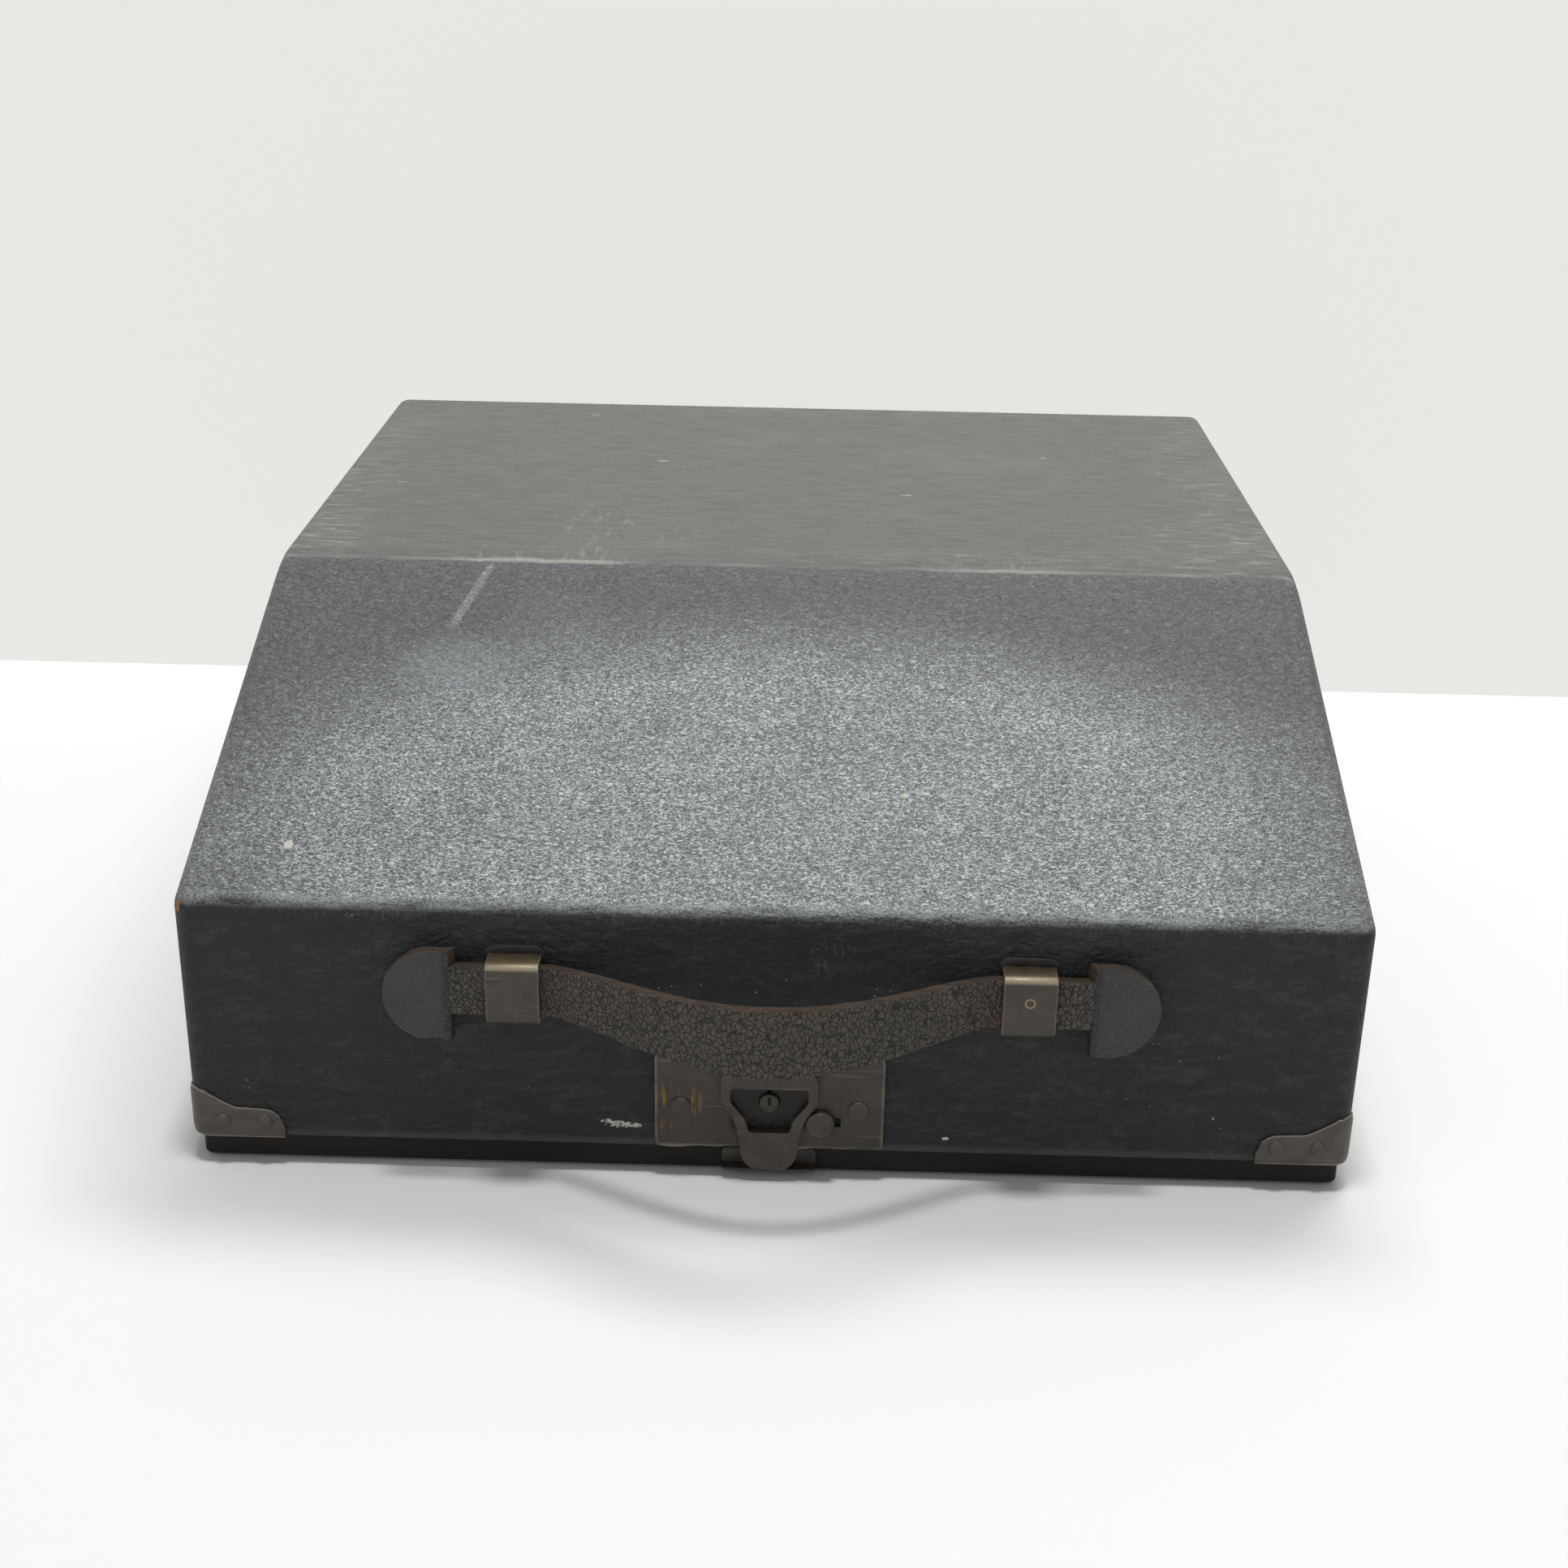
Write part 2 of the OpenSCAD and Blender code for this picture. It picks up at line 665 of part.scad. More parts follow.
module machine_frame() {
    half = mach_w / 2;
    beam_y = platen_y + 14;
    side = [
        [0, pad_h], [0, pad_h + 18], [8, pad_h + 26], [cover_y - 8, cover_z - 22], [cover_y, cover_z],
        [cover_end, cover_z], [cover_end + 2, deck_z], [mach_d, deck_z], [mach_d, pad_h]
    ];
    color("#202326") at_machine() {
        translate([0, 0, pad_h]) linear_extrude(ring_h) difference() {
            round_plate(mach_w, mach_d, 2);
            translate([0, ring_w]) round_plate(mach_w - 2 * ring_w, mach_d - 2 * ring_w, 2);
        }
        both_sides() {
            translate([half - side_t, 0, 0]) rotate([90, 0, 90]) linear_extrude(side_t) polygon(side);
            translate([half - side_t, axle_y, axle_z]) rotate([0, -90, 0])
                cylinder(r = axle_r + 3, h = 3);
            translate([bar_arm_x - 1.2, bar_axle_y, bar_axle_z]) rotate([0, 90, 0])
                cylinder(r = 1.5, h = half - side_t - bar_arm_x + 1.7);
        }
        translate([-half, mach_d - side_t, pad_h]) cube([mach_w, side_t, deck_z - pad_h]);
        translate([-half + 1, beam_y, shaft_z - 16]) cube([mach_w - 2, 3, 6]);
        translate([-12, beam_y, dog_z - 4]) difference() {
            cube([24, 3, shaft_z - dog_z + 12]);
            translate([12, -1, shaft_z - dog_z + 4]) rotate([-90, 0, 0])
                cylinder(r = shaft_r + run_gap, h = 5);
        }
        translate([0, beam_y + 1, dog_z]) rotate([-90, 0, 0]) cylinder(r = dog_pin_r, h = 6.5);
    }
}

module lever_axle() {
    color("#8c8c88") at_machine() translate([-mach_w / 2 + side_t + 3, axle_y, axle_z]) rotate([0, 90, 0])
        cylinder(r = axle_r, h = mach_w - 2 * side_t - 6);
}

// The keyboard: four banks, drawn in the machine's own frame
bank_keys = [10, 10, 10, 12];
key_pitch = (mach_w - 2 * key_side) / max(bank_keys);
bank_pitch = mach_d * bank_share;
letter_bank = 1;
letter_i = 4;

function bank_shift(b) = (1.5 - b) * key_pitch / 4;
function key_x(b, i) = (i - (bank_keys[b] - 1) / 2) * key_pitch + bank_shift(b);
function key_y(b) = bank_y + b * bank_pitch;
function key_z(b) = bank_z + b * bank_rise;

// One lever at the origin's X: a bar to the axle and a post up to the key top's underside
module lever(y, z, thick = lever_t) {
    bar_z = axle_z - lever_h / 2;
    post = 2;
    across(thick) difference() {
        union() {
            translate([y - post, bar_z]) square([axle_y - y + post, lever_h]);
            translate([y - post, bar_z]) square([2 * post, z - cap_t - bar_z]);
            translate([axle_y, axle_z]) circle(lever_h / 2 + 1);
        }
        translate([axle_y, axle_z]) circle(axle_r + run_gap);
    }
}

module key_cap(y, z) {
    translate([0, y, z - cap_t]) {
        cylinder(r = cap_r, h = cap_t * 0.7);
        cylinder(r = cap_r - 1.2, h = cap_t);
    }
}

module each_fixed_key() {
    for (b = [0 : 3], i = [0 : bank_keys[b] - 1]) if (b != letter_bank || i != letter_i) {
        $y = key_y(b);
        $z = key_z(b);
        translate([key_x(b, i), 0, 0]) children();
    }
}

module key_levers() {
    color("#4a4b4b") at_machine() each_fixed_key() lever($y, $z);
}

module key_tops() {
    color("#16171a") at_machine() each_fixed_key() key_cap($y, $z);
}

module letter_lever() {
    color("#4a4b4b") at_machine() translate([key_x(letter_bank, letter_i), 0, 0])
        lever(key_y(letter_bank), key_z(letter_bank));
}

module letter_top() {
    color("#16171a") at_machine() translate([key_x(letter_bank, letter_i), 0, 0])
        key_cap(key_y(letter_bank), key_z(letter_bank));
}

bar_arm_x = mach_w / 2 - side_t - 5;
bar_axle_y = axle_y * 0.55;
bar_axle_z = 23;

module space_bar() {
    bar_w = 11;
    bar_h = 6;
    bar_top = bank_z - 3;
    arm_h = 5;
    color("#1b1c1f") at_machine() {
        translate([0, 2.5, bar_top - bar_h]) across(space_l) round_plate(bar_w, bar_h, 2);
        both_sides() {
            translate([bar_arm_x - 1, 0, bar_axle_z - arm_h / 2]) difference() {
                cube([2, bar_axle_y + 3, arm_h]);
                translate([-1, bar_axle_y, arm_h / 2]) rotate([0, 90, 0]) cylinder(r = 1.5 + run_gap, h = 4);
            }
            translate([space_l / 2 - 9, 1.5, bar_axle_z - 1]) cube([4, 4, bar_top - bar_h - bar_axle_z + 2]);
        }
        translate([0, 1.5, bar_axle_z - arm_h / 2]) across(2 * bar_arm_x) square([4, 3.5]);
    }
}

// Key at each side, two levers and the bar behind that lifts the carriage
shift_x = mach_w / 2 - shift_in;

module shift_keys() {
    bail_y = axle_y - 18;
    bail_z = axle_z + lever_h / 2 + 2.5;
    color("#17181b") at_machine() {
        both_sides() translate([shift_x, 0, 0]) {
            lever(key_y(0), key_z(0), 2);
            key_cap(key_y(0), key_z(0));
        }
        translate([0, bail_y, bail_z]) across(2 * shift_x) square([3, 3.5]);
        both_sides() translate([shift_x - 1, bail_y, axle_z]) cube([2, 3, bail_z + 3.5 - axle_z]);
    }
}

back_space_x = mach_w / 2 - back_in;

module back_space_key() {
    color("#17181b") at_machine() translate([back_space_x, 0, 0]) {
        lever(key_y(2), key_z(2));
        key_cap(key_y(2), key_z(2));
    }
}

// The type basket: bars fan round an axis that runs along Y through the printing point
print_y = platen_y - platen_r - 1;
strike_run = mach_d * strike_share;
pivot_y = print_y - strike_run;
bar_l = sqrt(basket_r * basket_r + strike_run * strike_run);
bar_step = 2 * fan / (bars_n - 1);
letter_bar = floor(bars_n / 2);

module at_bar(i) {
    translate([0, pivot_y, platen_z]) rotate([0, fan - i * bar_step, 0]) translate([0, 0, -basket_r]) children();
}

module typebar_shape() {
    slug = [2.1, 3, 7];
    across(bar_t) {
        translate([-bar_l + 2, -1.5]) square([bar_l - 2, 3]);
        circle(3);
    }
    translate([-slug[0] / 2, -bar_l, -1.5]) cube(slug);
}

module typebar() {
    color("#8a8a86") at_machine() at_bar(letter_bar) typebar_shape();
}

module typebars() {
    color("#8a8a86") at_machine() for (i = [0 : bars_n - 1]) if (i != letter_bar) at_bar(i) typebar_shape();
}

// Half ring with a slot for every bar, seated on two legs
module segment() {
    ring_in = basket_r - 5;
    ring_out = basket_r + 9;
    ring_t = 10;
    color("#5c5d5c") at_machine() difference() {
        union() {
            translate([0, pivot_y + ring_t / 2, platen_z]) rotate([90, 0, 0]) linear_extrude(ring_t)
                difference() {
                    circle(ring_out);
                    circle(ring_in);
                    translate([-ring_out, 0]) square([2 * ring_out, ring_out]);
                }
            translate([-30, pivot_y - ring_t / 2, platen_z - ring_out - 5]) cube([60, ring_t, 9]);
            both_sides() translate([0, pivot_y - 3, platen_z - 36]) cube([mach_w / 2 - side_t, 6, 6]);
            translate([-5, pivot_y, platen_z - ring_out - 3]) cube([10, vibrator_y - pivot_y, 4]);
        }
        for (i = [0 : bars_n - 1]) at_bar(i) translate([-bar_t / 2 - 0.3, -ring_t, -4.5]) cube([bar_t + 0.6, 2 * ring_t, 12]);
        translate([0, pivot_y + ring_t, platen_z]) rotate([90, 0, 0]) cylinder(r = ring_in, h = 2 * ring_t);
    }
}

module typebar_rest() {
    rest_t = 8;
    rest_in = basket_r + 1.8;
    color("#5b2f2a") at_machine() {
        translate([0, pivot_y - bar_l + 4 + rest_t, platen_z]) rotate([90, 0, 0]) linear_extrude(rest_t)
            difference() {
                circle(rest_in + 4);
                circle(rest_in);
                translate([-rest_in - 5, -12]) square([2 * rest_in + 10, rest_in + 20]);
            }
    }
}

// The cover: a flat top with a round well for the type basket and holes over the spools
cover_y = bank_y + 3.5 * bank_pitch + 3;
cover_end = platen_y - 48;

module top_cover() {
    well_r = basket_r + 18;
    color("#1e2124") at_machine() {
        translate([0, 0, cover_z]) linear_extrude(cover_t) difference() {
            translate([-mach_w / 2, cover_y - 4]) square([mach_w, cover_end - cover_y + 4]);
            translate([0, pivot_y]) circle(well_r);
            translate([-basket_r - 7, pivot_y - bar_l - 4]) square([2 * basket_r + 14, bar_l]);
            for (x = [-spool_x, spool_x]) translate([x, spool_y]) circle(spool_r + 3);
        }
        translate([-mach_w / 2 + side_t, cover_y - 4, cover_z - 12]) cube([mach_w - 2 * side_t, 2, 12]);
    }
}

// The carriage, which slides along two rails
carriage_w = mach_w - 2 * carriage_in;
half_c = carriage_w / 2;
front_rail_y = platen_y - 18;
rear_rail_y = platen_y + strike_run;
block_in = 34;
block_l = 20;
tray_z = rail_z + 8;
tray_t = 4;
pinion_r = 8;

module carriage_rails() {
    length = mach_w - 2 * side_t;
    color("#96968f") at_machine() for (y = [front_rail_y, rear_rail_y])
        translate([-length / 2, y, rail_z]) rotate([0, 90, 0]) cylinder(r = rail_r, h = length);
}

module carriage_frame() {
    rack_z = shaft_z + pinion_r + 0.3;
    end_plate = [
        [front_rail_y - 5, tray_z], [front_rail_y - 5, tray_z + 10], [platen_y - 13, platen_z + 8],
        [platen_y - 8, platen_z + 11], [platen_y + 28, platen_z + 14], [rear_rail_y + 10, platen_z - 4],
        [rear_rail_y + 10, tray_z]
    ];
    color("#1f2225") at_machine() {
        both_sides() {
            translate([half_c, 0, 0]) rotate([90, 0, 90]) linear_extrude(end_t) difference() {
                polygon(end_plate);
                translate([platen_y, platen_z]) circle(4 + run_gap);
                translate([feed_y(), feed_z()]) circle(1.5 + run_gap);
                translate(bail_pivot) circle(pin_small_r + run_gap);
                translate(release_pivot) circle(pin_small_r + run_gap);
            }
            for (y = [front_rail_y, rear_rail_y]) translate([half_c - block_in, y, 0]) difference() {
                translate([0, -6, rail_z - 5]) cube([block_l, 12, tray_z - rail_z + 5]);
                translate([-1, 0, rail_z]) rotate([0, 90, 0]) cylinder(r = rail_r + run_gap, h = block_l + 2);
            }
        }
        translate([-half_c, front_rail_y - 5, tray_z]) cube([carriage_w, 9, tray_t]);
        translate([-half_c, rear_rail_y - 11, tray_z]) cube([carriage_w, 21, tray_t]);
        translate([-half_c + block_in + 4, rear_rail_y - 11, rack_z])
            cube([carriage_w - 2 * block_in - 8, 4, tray_z - rack_z]);
        translate([-lever_x - 3.5, lever_y - 5, lug_z]) difference() {
            cube([lever_x + 3.5 - half_c, 10, 3]);
            translate([3.5, 5, -1]) cylinder(r = 2 + run_gap, h = 5);
        }
    }
}

ratchet_t = 3;
journal_r = 4;

module platen() {
    left = ratchet_t + 0.5;
    color("#141414") at_machine() translate([0, platen_y, platen_z]) rotate([0, 90, 0]) {
        translate([0, 0, -half_c + left]) cylinder(r = platen_r, h = carriage_w - left - 1);
        translate([0, 0, -half_c - end_t - 1]) cylinder(r = journal_r, h = carriage_w + 2 * end_t + 2);
    }
}

module platen_knobs() {
    color("#191a1c") at_machine() both_sides() translate([half_c + end_t + 1, platen_y, platen_z])
        rotate([0, 90, 0]) rotate_extrude() polygon(concat(
            [[0, 0], [knob_r - 2, 0]],
            arc([knob_r - 1.5, 1.5], 1.5, 270, 360, 4),
            arc([knob_r - 2.5, knob_t - 2.5], 2.5, 0, 90, 5),
            [[0, knob_t]]
        ));
}

module line_space_ratchet() {
    teeth = 30;
    color("#8f8f8a") at_machine() translate([-half_c + 0.5, platen_y, platen_z]) rotate([90, 0, 90])
        linear_extrude(ratchet_t) difference() {
            polygon([for (i = [0 : 2 * teeth - 1]) let (a = 180 * i / teeth)
                (platen_r - (i % 2) * 1.5) * [cos(a), sin(a)]]);
            circle(journal_r + 0.05);
        }
}

function feed_y() = platen_y - 8;
function feed_z() = platen_z - sqrt(pow(platen_r + feed_r + 0.3, 2) - 64);

module feed_roller() {
    color("#2a2a2a") at_machine() translate([0, feed_y(), feed_z()]) rotate([0, 90, 0]) {
        translate([0, 0, -half_c - end_t]) cylinder(r = 1.5, h = carriage_w + 2 * end_t);
        for (i = [-1 : 1]) translate([0, 0, i * carriage_w * 0.3 - feed_l / 2]) cylinder(r = feed_r, h = feed_l);
    }
}

module paper_table() {
    low_y = platen_y + platen_r + 3;
    color("#1f2225") at_machine() across(carriage_w) polygon([
        [low_y, platen_z - 6], [low_y + 2, platen_z - 6], [low_y + 4, platen_z + 8],
        [low_y + 26, platen_z + 20], [low_y + 25.4, platen_z + 21.4], [low_y + 2, platen_z + 9]
    ]);
}

bail_pivot = [platen_y + 23, platen_z + 10];
bail_rod = [platen_y - 9.6, platen_z + 17];
release_pivot = [platen_y + 30, platen_z - 4];
pin_small_r = 1.3;

module paper_bail() {
    rod_r = 1.5;
    arm_t = 0.8;
    color("#a3a39d") at_machine() {
        both_sides() translate([half_c + end_t, 0, 0]) rotate([90, 0, 90]) linear_extrude(arm_t) hull() {
            translate(bail_pivot) circle(2.4, $fn = 32);
            translate(bail_rod) circle(2.2, $fn = 32);
        }
        both_sides() translate([half_c + 0.3, bail_pivot[0], bail_pivot[1]]) rotate([0, 90, 0])
            cylinder(r = pin_small_r, h = end_t + arm_t - 0.3);
        translate([-half_c - end_t, bail_rod[0], bail_rod[1]]) rotate([0, 90, 0])
            cylinder(r = rod_r, h = carriage_w + 2 * end_t);
    }
}

lever_x = half_c + end_t + 4.5;
lever_y = front_rail_y - 3;
lug_z = platen_z - 8.5;

module return_lever() {
    arm = 56;
    plane_z = platen_z + 2;
    color("#a3a39d") at_machine() translate([-lever_x, lever_y, plane_z]) {
        translate([0, 0, -1]) cylinder(r = 4, h = 4);
        linear_extrude(2) {
            translate([-2, -arm]) square([4, arm]);
            translate([0, -arm]) circle(3.5);
        }
        translate([0, -arm, 0]) cylinder(r = 3.5, h = 6);
        translate([0, 0, lug_z - plane_z]) cylinder(r = 2, h = plane_z - lug_z);
    }
}

module paper_release_lever() {
    color("#a3a39d") at_machine() translate([half_c + end_t + 0.3, release_pivot[0], release_pivot[1]])
        rotate([90, 0, 90]) {
            linear_extrude(1.5) {
                circle(3.5);
                translate([-2, 0]) square([4, 15]);
                translate([0, 15]) circle(3);
            }
            translate([0, 0, -end_t]) cylinder(r = pin_small_r, h = end_t + 1);
        }
}

// Behind the carriage
margin_y = mach_d - margin_in;
margin_z = deck_z + 10;
margin_half = mach_w / 2 - margin_side;

module margin_rail() {
    post_t = 4;
    post_h = 14;
    color("#8e8e88") at_machine() {
        translate([-margin_half, margin_y, margin_z]) rotate([0, 90, 0])
            cylinder(r = margin_r, h = 2 * margin_half);
        both_sides() translate([margin_half - 6 - post_t, margin_y - post_t, deck_z]) difference() {
            cube([post_t, margin_in + post_t, post_h]);
            translate([-1, post_t, margin_z - deck_z]) rotate([0, 90, 0])
                cylinder(r = margin_r, h = post_t + 2);
        }
    }
}

module margin_stops() {
    color("#b5b5ae") at_machine() both_sides() translate([stop_x, margin_y, margin_z]) rotate([0, 90, 0])
        linear_extrude(stop_l) difference() {
            translate([-8, -5]) square([13, 10]);
            circle(margin_r + run_gap);
        }
}

escape_y = platen_y + 14;

module escape_wheel() {
    teeth = 24;
    wheel_r = 13;
    color("#9a8f6a") at_machine() translate([0, escape_y, shaft_z]) rotate([-90, 0, 0]) {
        translate([0, 0, -1]) cylinder(r = shaft_r, h = 8);
        translate([0, 0, 3.3]) linear_extrude(1.5) polygon([for (i = [0 : 2 * teeth - 1])
            let (a = 180 * i / teeth) (wheel_r - (i % 2) * 2) * [cos(a), sin(a)]]);
        translate([0, 0, 4]) cylinder(r = 4, h = 8);
        translate([0, 0, 12]) linear_extrude(7) polygon([for (i = [0 : 27])
            let (a = 360 * i / 28) (pinion_r - (i % 2) * 1.4) * [cos(a), sin(a)]]);
    }
}

module escapement_dogs() {
    color("#77776f") at_machine() translate([0, escape_y + 3, dog_z]) rotate([-90, 0, 0])
        linear_extrude(4) difference() {
            polygon([[-9, 1], [-6, -3.6], [6, -3.6], [9, 1], [0, 5]]);
            circle(dog_pin_r + run_gap);
        }
}

drum_x = -mach_w / 2 + drum_in;
drum_z = (deck_z + ring_top) / 2;
drum_r = (deck_z - ring_top) / 2 - drum_gap;

module mainspring_drum() {
    stub = 4;
    dish = 2;
    color("#8b8b84") at_machine() translate([drum_x, mach_d - side_t, drum_z]) rotate([90, 0, 0]) {
        cylinder(r = 3, h = stub);
        translate([0, 0, stub]) difference() {
            cylinder(r = drum_r, h = drum_t);
            translate([0, 0, drum_t - dish]) difference() {
                cylinder(r = drum_r - 3, h = dish + 1);
                translate([0, 0, -1]) cylinder(r = 6, h = dish + 3);
            }
        }
    }
}

// The ribbon
spool_x = mach_w / 2 - spool_in;
spool_y = (cover_y + cover_end) / 2;
spool_z = cover_z - spool_h - 3;

module ribbon_spool() {
    flange = 1;
    at_machine() translate([spool_x, spool_y, spool_z]) {
        cylinder(r = spool_r, h = flange);
        cylinder(r = spool_r - 4, h = spool_h);
        translate([0, 0, spool_h - flange]) cylinder(r = spool_r, h = flange);
        translate([0, 0, -1.3]) cylinder(r = 2.5, h = spool_h + 3.3);
    }
}

module ribbon_spool_left() {
    color("#33353a") mirror([1, 0, 0]) ribbon_spool();
}

module ribbon_spool_right() {
    color("#33353a") ribbon_spool();
}

module spool_cups() {
    wall = 1;
    cup_r = spool_r + 2.4;
    color("#222528") at_machine() both_sides() translate([spool_x, spool_y, spool_z - 0.3 - wall]) difference() {
        union() {
            cylinder(r = cup_r + wall, h = spool_h + 2);
            translate([0, -5, 0]) cube([mach_w / 2 - side_t - spool_x, 10, wall]);
        }
        translate([0, 0, wall]) cylinder(r = cup_r, h = spool_h + 4);
        translate([0, 0, -1]) cylinder(r = 2.5 + run_gap, h = wall + 2);
        translate([-cup_r - 2, 0, wall]) cube([cup_r, cup_r + 2, spool_h + 2]);
    }
}

vibrator_y = print_y - 9.8;
ribbon_w = 11;

module ribbon() {
    tape_t = 0.8;
    guide = [basket_r + 13, pivot_y + 8];
    run = [
        [spool_x - spool_r + 4 - 0.3, spool_y + 2], guide, [22, vibrator_y + 3.2], [0, vibrator_y + 3.2]
    ];
    back = [for (i = [3 : -1 : 0]) run[i] - [0, tape_t]];
    color("#1a1a1d") at_machine() both_sides() translate([0, 0, spool_z + 1]) linear_extrude(ribbon_w)
        polygon(concat(run, back));
}

// The fork that lifts the ribbon in front of the type
module ribbon_vibrator() {
    fork_w = 20;
    color("#a3a39d") at_machine() translate([0, 0, spool_z - 6]) upright(vibrator_y, vibrator_y + 1.5) {
        translate([-fork_w / 2, 0]) square([fork_w, 5]);
        for (x = [-fork_w / 2, fork_w / 2 - 2]) translate([x, 0]) square([2, 22]);
        translate([-3, -24]) square([6, 25]);
    }
}

hood_shell();
corner_plate_front_left();
corner_plate_front_right();
corner_plate_rear_left();
corner_plate_rear_right();
corner_rivets();
lock_plate();
lock_rivets();
lock_barrel();
hasp();
lock_button();
strike_plate();
loop_back_plates();
handle_loop_left();
handle_loop_right();
handle_grip();
strap_end_left();
strap_end_right();
hood_hinge_leaves();
base_hinge_leaves();
hinge_pins();
base_board();
base_rim();
case_feet();
machine_brackets();
machine_feet();
machine_frame();
lever_axle();
key_levers();
key_tops();
letter_lever();
letter_top();
typebar();
typebars();
segment();
typebar_rest();
top_cover();
space_bar();
shift_keys();
back_space_key();
carriage_rails();
carriage_frame();
platen();
platen_knobs();
line_space_ratchet();
feed_roller();
paper_table();
paper_bail();
return_lever();
paper_release_lever();
margin_rail();
margin_stops();
escape_wheel();
escapement_dogs();
mainspring_drum();
ribbon_spool_left();
ribbon_spool_right();
spool_cups();
ribbon();
ribbon_vibrator();
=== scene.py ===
import json
import math
import random

import bmesh
import bpy
from mathutils import Matrix, Vector


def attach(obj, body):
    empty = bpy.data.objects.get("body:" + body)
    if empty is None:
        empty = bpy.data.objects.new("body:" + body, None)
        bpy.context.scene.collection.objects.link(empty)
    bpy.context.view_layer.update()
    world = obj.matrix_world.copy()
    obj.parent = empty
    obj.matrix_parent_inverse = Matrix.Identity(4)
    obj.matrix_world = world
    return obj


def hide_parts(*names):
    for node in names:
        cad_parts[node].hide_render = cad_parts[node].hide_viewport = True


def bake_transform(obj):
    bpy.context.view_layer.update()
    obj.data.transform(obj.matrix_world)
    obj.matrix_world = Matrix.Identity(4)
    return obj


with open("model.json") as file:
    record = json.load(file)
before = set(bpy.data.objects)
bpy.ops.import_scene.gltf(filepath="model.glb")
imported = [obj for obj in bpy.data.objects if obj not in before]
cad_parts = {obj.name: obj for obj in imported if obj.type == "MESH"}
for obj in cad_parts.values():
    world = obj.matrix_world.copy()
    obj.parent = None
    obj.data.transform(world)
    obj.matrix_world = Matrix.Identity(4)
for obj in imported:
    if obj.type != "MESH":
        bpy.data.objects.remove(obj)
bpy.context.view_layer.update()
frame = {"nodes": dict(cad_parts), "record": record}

# Sizes in millimetres. The hood's front face and lower edge, as they lie in the shared frame:
MM = 0.001
FRONT = -163.55
BOTTOM = 8.5
# The hood's half width and depth, the heights of its front and its top, and where slope and top meet:
WIDE = 160
DEEP = 350
FRONT_TOP = 73
TOP = 125
RIDGE = 142.5
# How far the loops and the half-moon ends of the strap lie from the middle, and the loops' height:
LOOP_AT = 68.5
MOON_AT = 85.5
LOOP_UP = 50.9
# How far behind the hood's front the strap runs; less than 0 is before it:
STRAP_DEEP = -4.5


# Camera, as the photograph sees the case
def point_camera():
    data = bpy.data.cameras.new("camera")
    data.sensor_fit = "HORIZONTAL"
    data.sensor_width = 36
    data.lens = 50.82
    data.clip_start = 0.02
    data.clip_end = 20
    yaw, pitch, roll = math.radians(-0.848), math.radians(23.195), math.radians(1.065)
    ahead = Vector((math.sin(yaw) * math.cos(pitch), math.cos(yaw) * math.cos(pitch), -math.sin(pitch)))
    right = Vector((math.cos(yaw), -math.sin(yaw), 0))
    up = right.cross(ahead)
    across = right * math.cos(roll) + up * math.sin(roll)
    above = up * math.cos(roll) - right * math.sin(roll)
    turn = Matrix((across, above, -ahead)).transposed().to_4x4()
    camera = bpy.data.objects.new("camera", data)
    camera.matrix_world = Matrix.Translation(Vector((10.1, FRONT - 523.4, 343.1)) * MM) @ turn
    bpy.context.collection.objects.link(camera)
    bpy.context.scene.camera = camera


point_camera()


# Finishes are written as sums of sockets
class Value:
    def __init__(self, finish, socket):
        self.finish = finish
        self.socket = socket

    def sum(self, kind, *others):
        return self.finish.node("ShaderNodeMath", {"operation": kind}, dict(enumerate(others)))

    def __add__(self, other):
        return self.sum("ADD", self, other)

    def __radd__(self, other):
        return self.sum("ADD", other, self)

    def __sub__(self, other):
        return self.sum("SUBTRACT", self, other)

    def __rsub__(self, other):
        return self.sum("SUBTRACT", other, self)

    def __mul__(self, other):
        return self.sum("MULTIPLY", self, other)

    def __truediv__(self, other):
        return self.sum("DIVIDE", self, other)

    def __pow__(self, power):
        return self.sum("POWER", self, power)

    def __abs__(self):
        return self.sum("ABSOLUTE", self)

    def low(self, other):
        return self.sum("MINIMUM", self, other)

    def high(self, other):
        return self.sum("MAXIMUM", self, other)

    def wave(self):
        return self.sum("SINE", self)

    def step(self, start, end):
        """0 before start, 1 after end, smooth between; end may lie before start."""
        flip = end < start
        low, high = (end, start) if flip else (start, end)
        up = self.finish.node("ShaderNodeMapRange", {"interpolation_type": "SMOOTHSTEP"},
                              {"Value": self, "From Min": low, "From Max": high})
        return 1 - up if flip else up


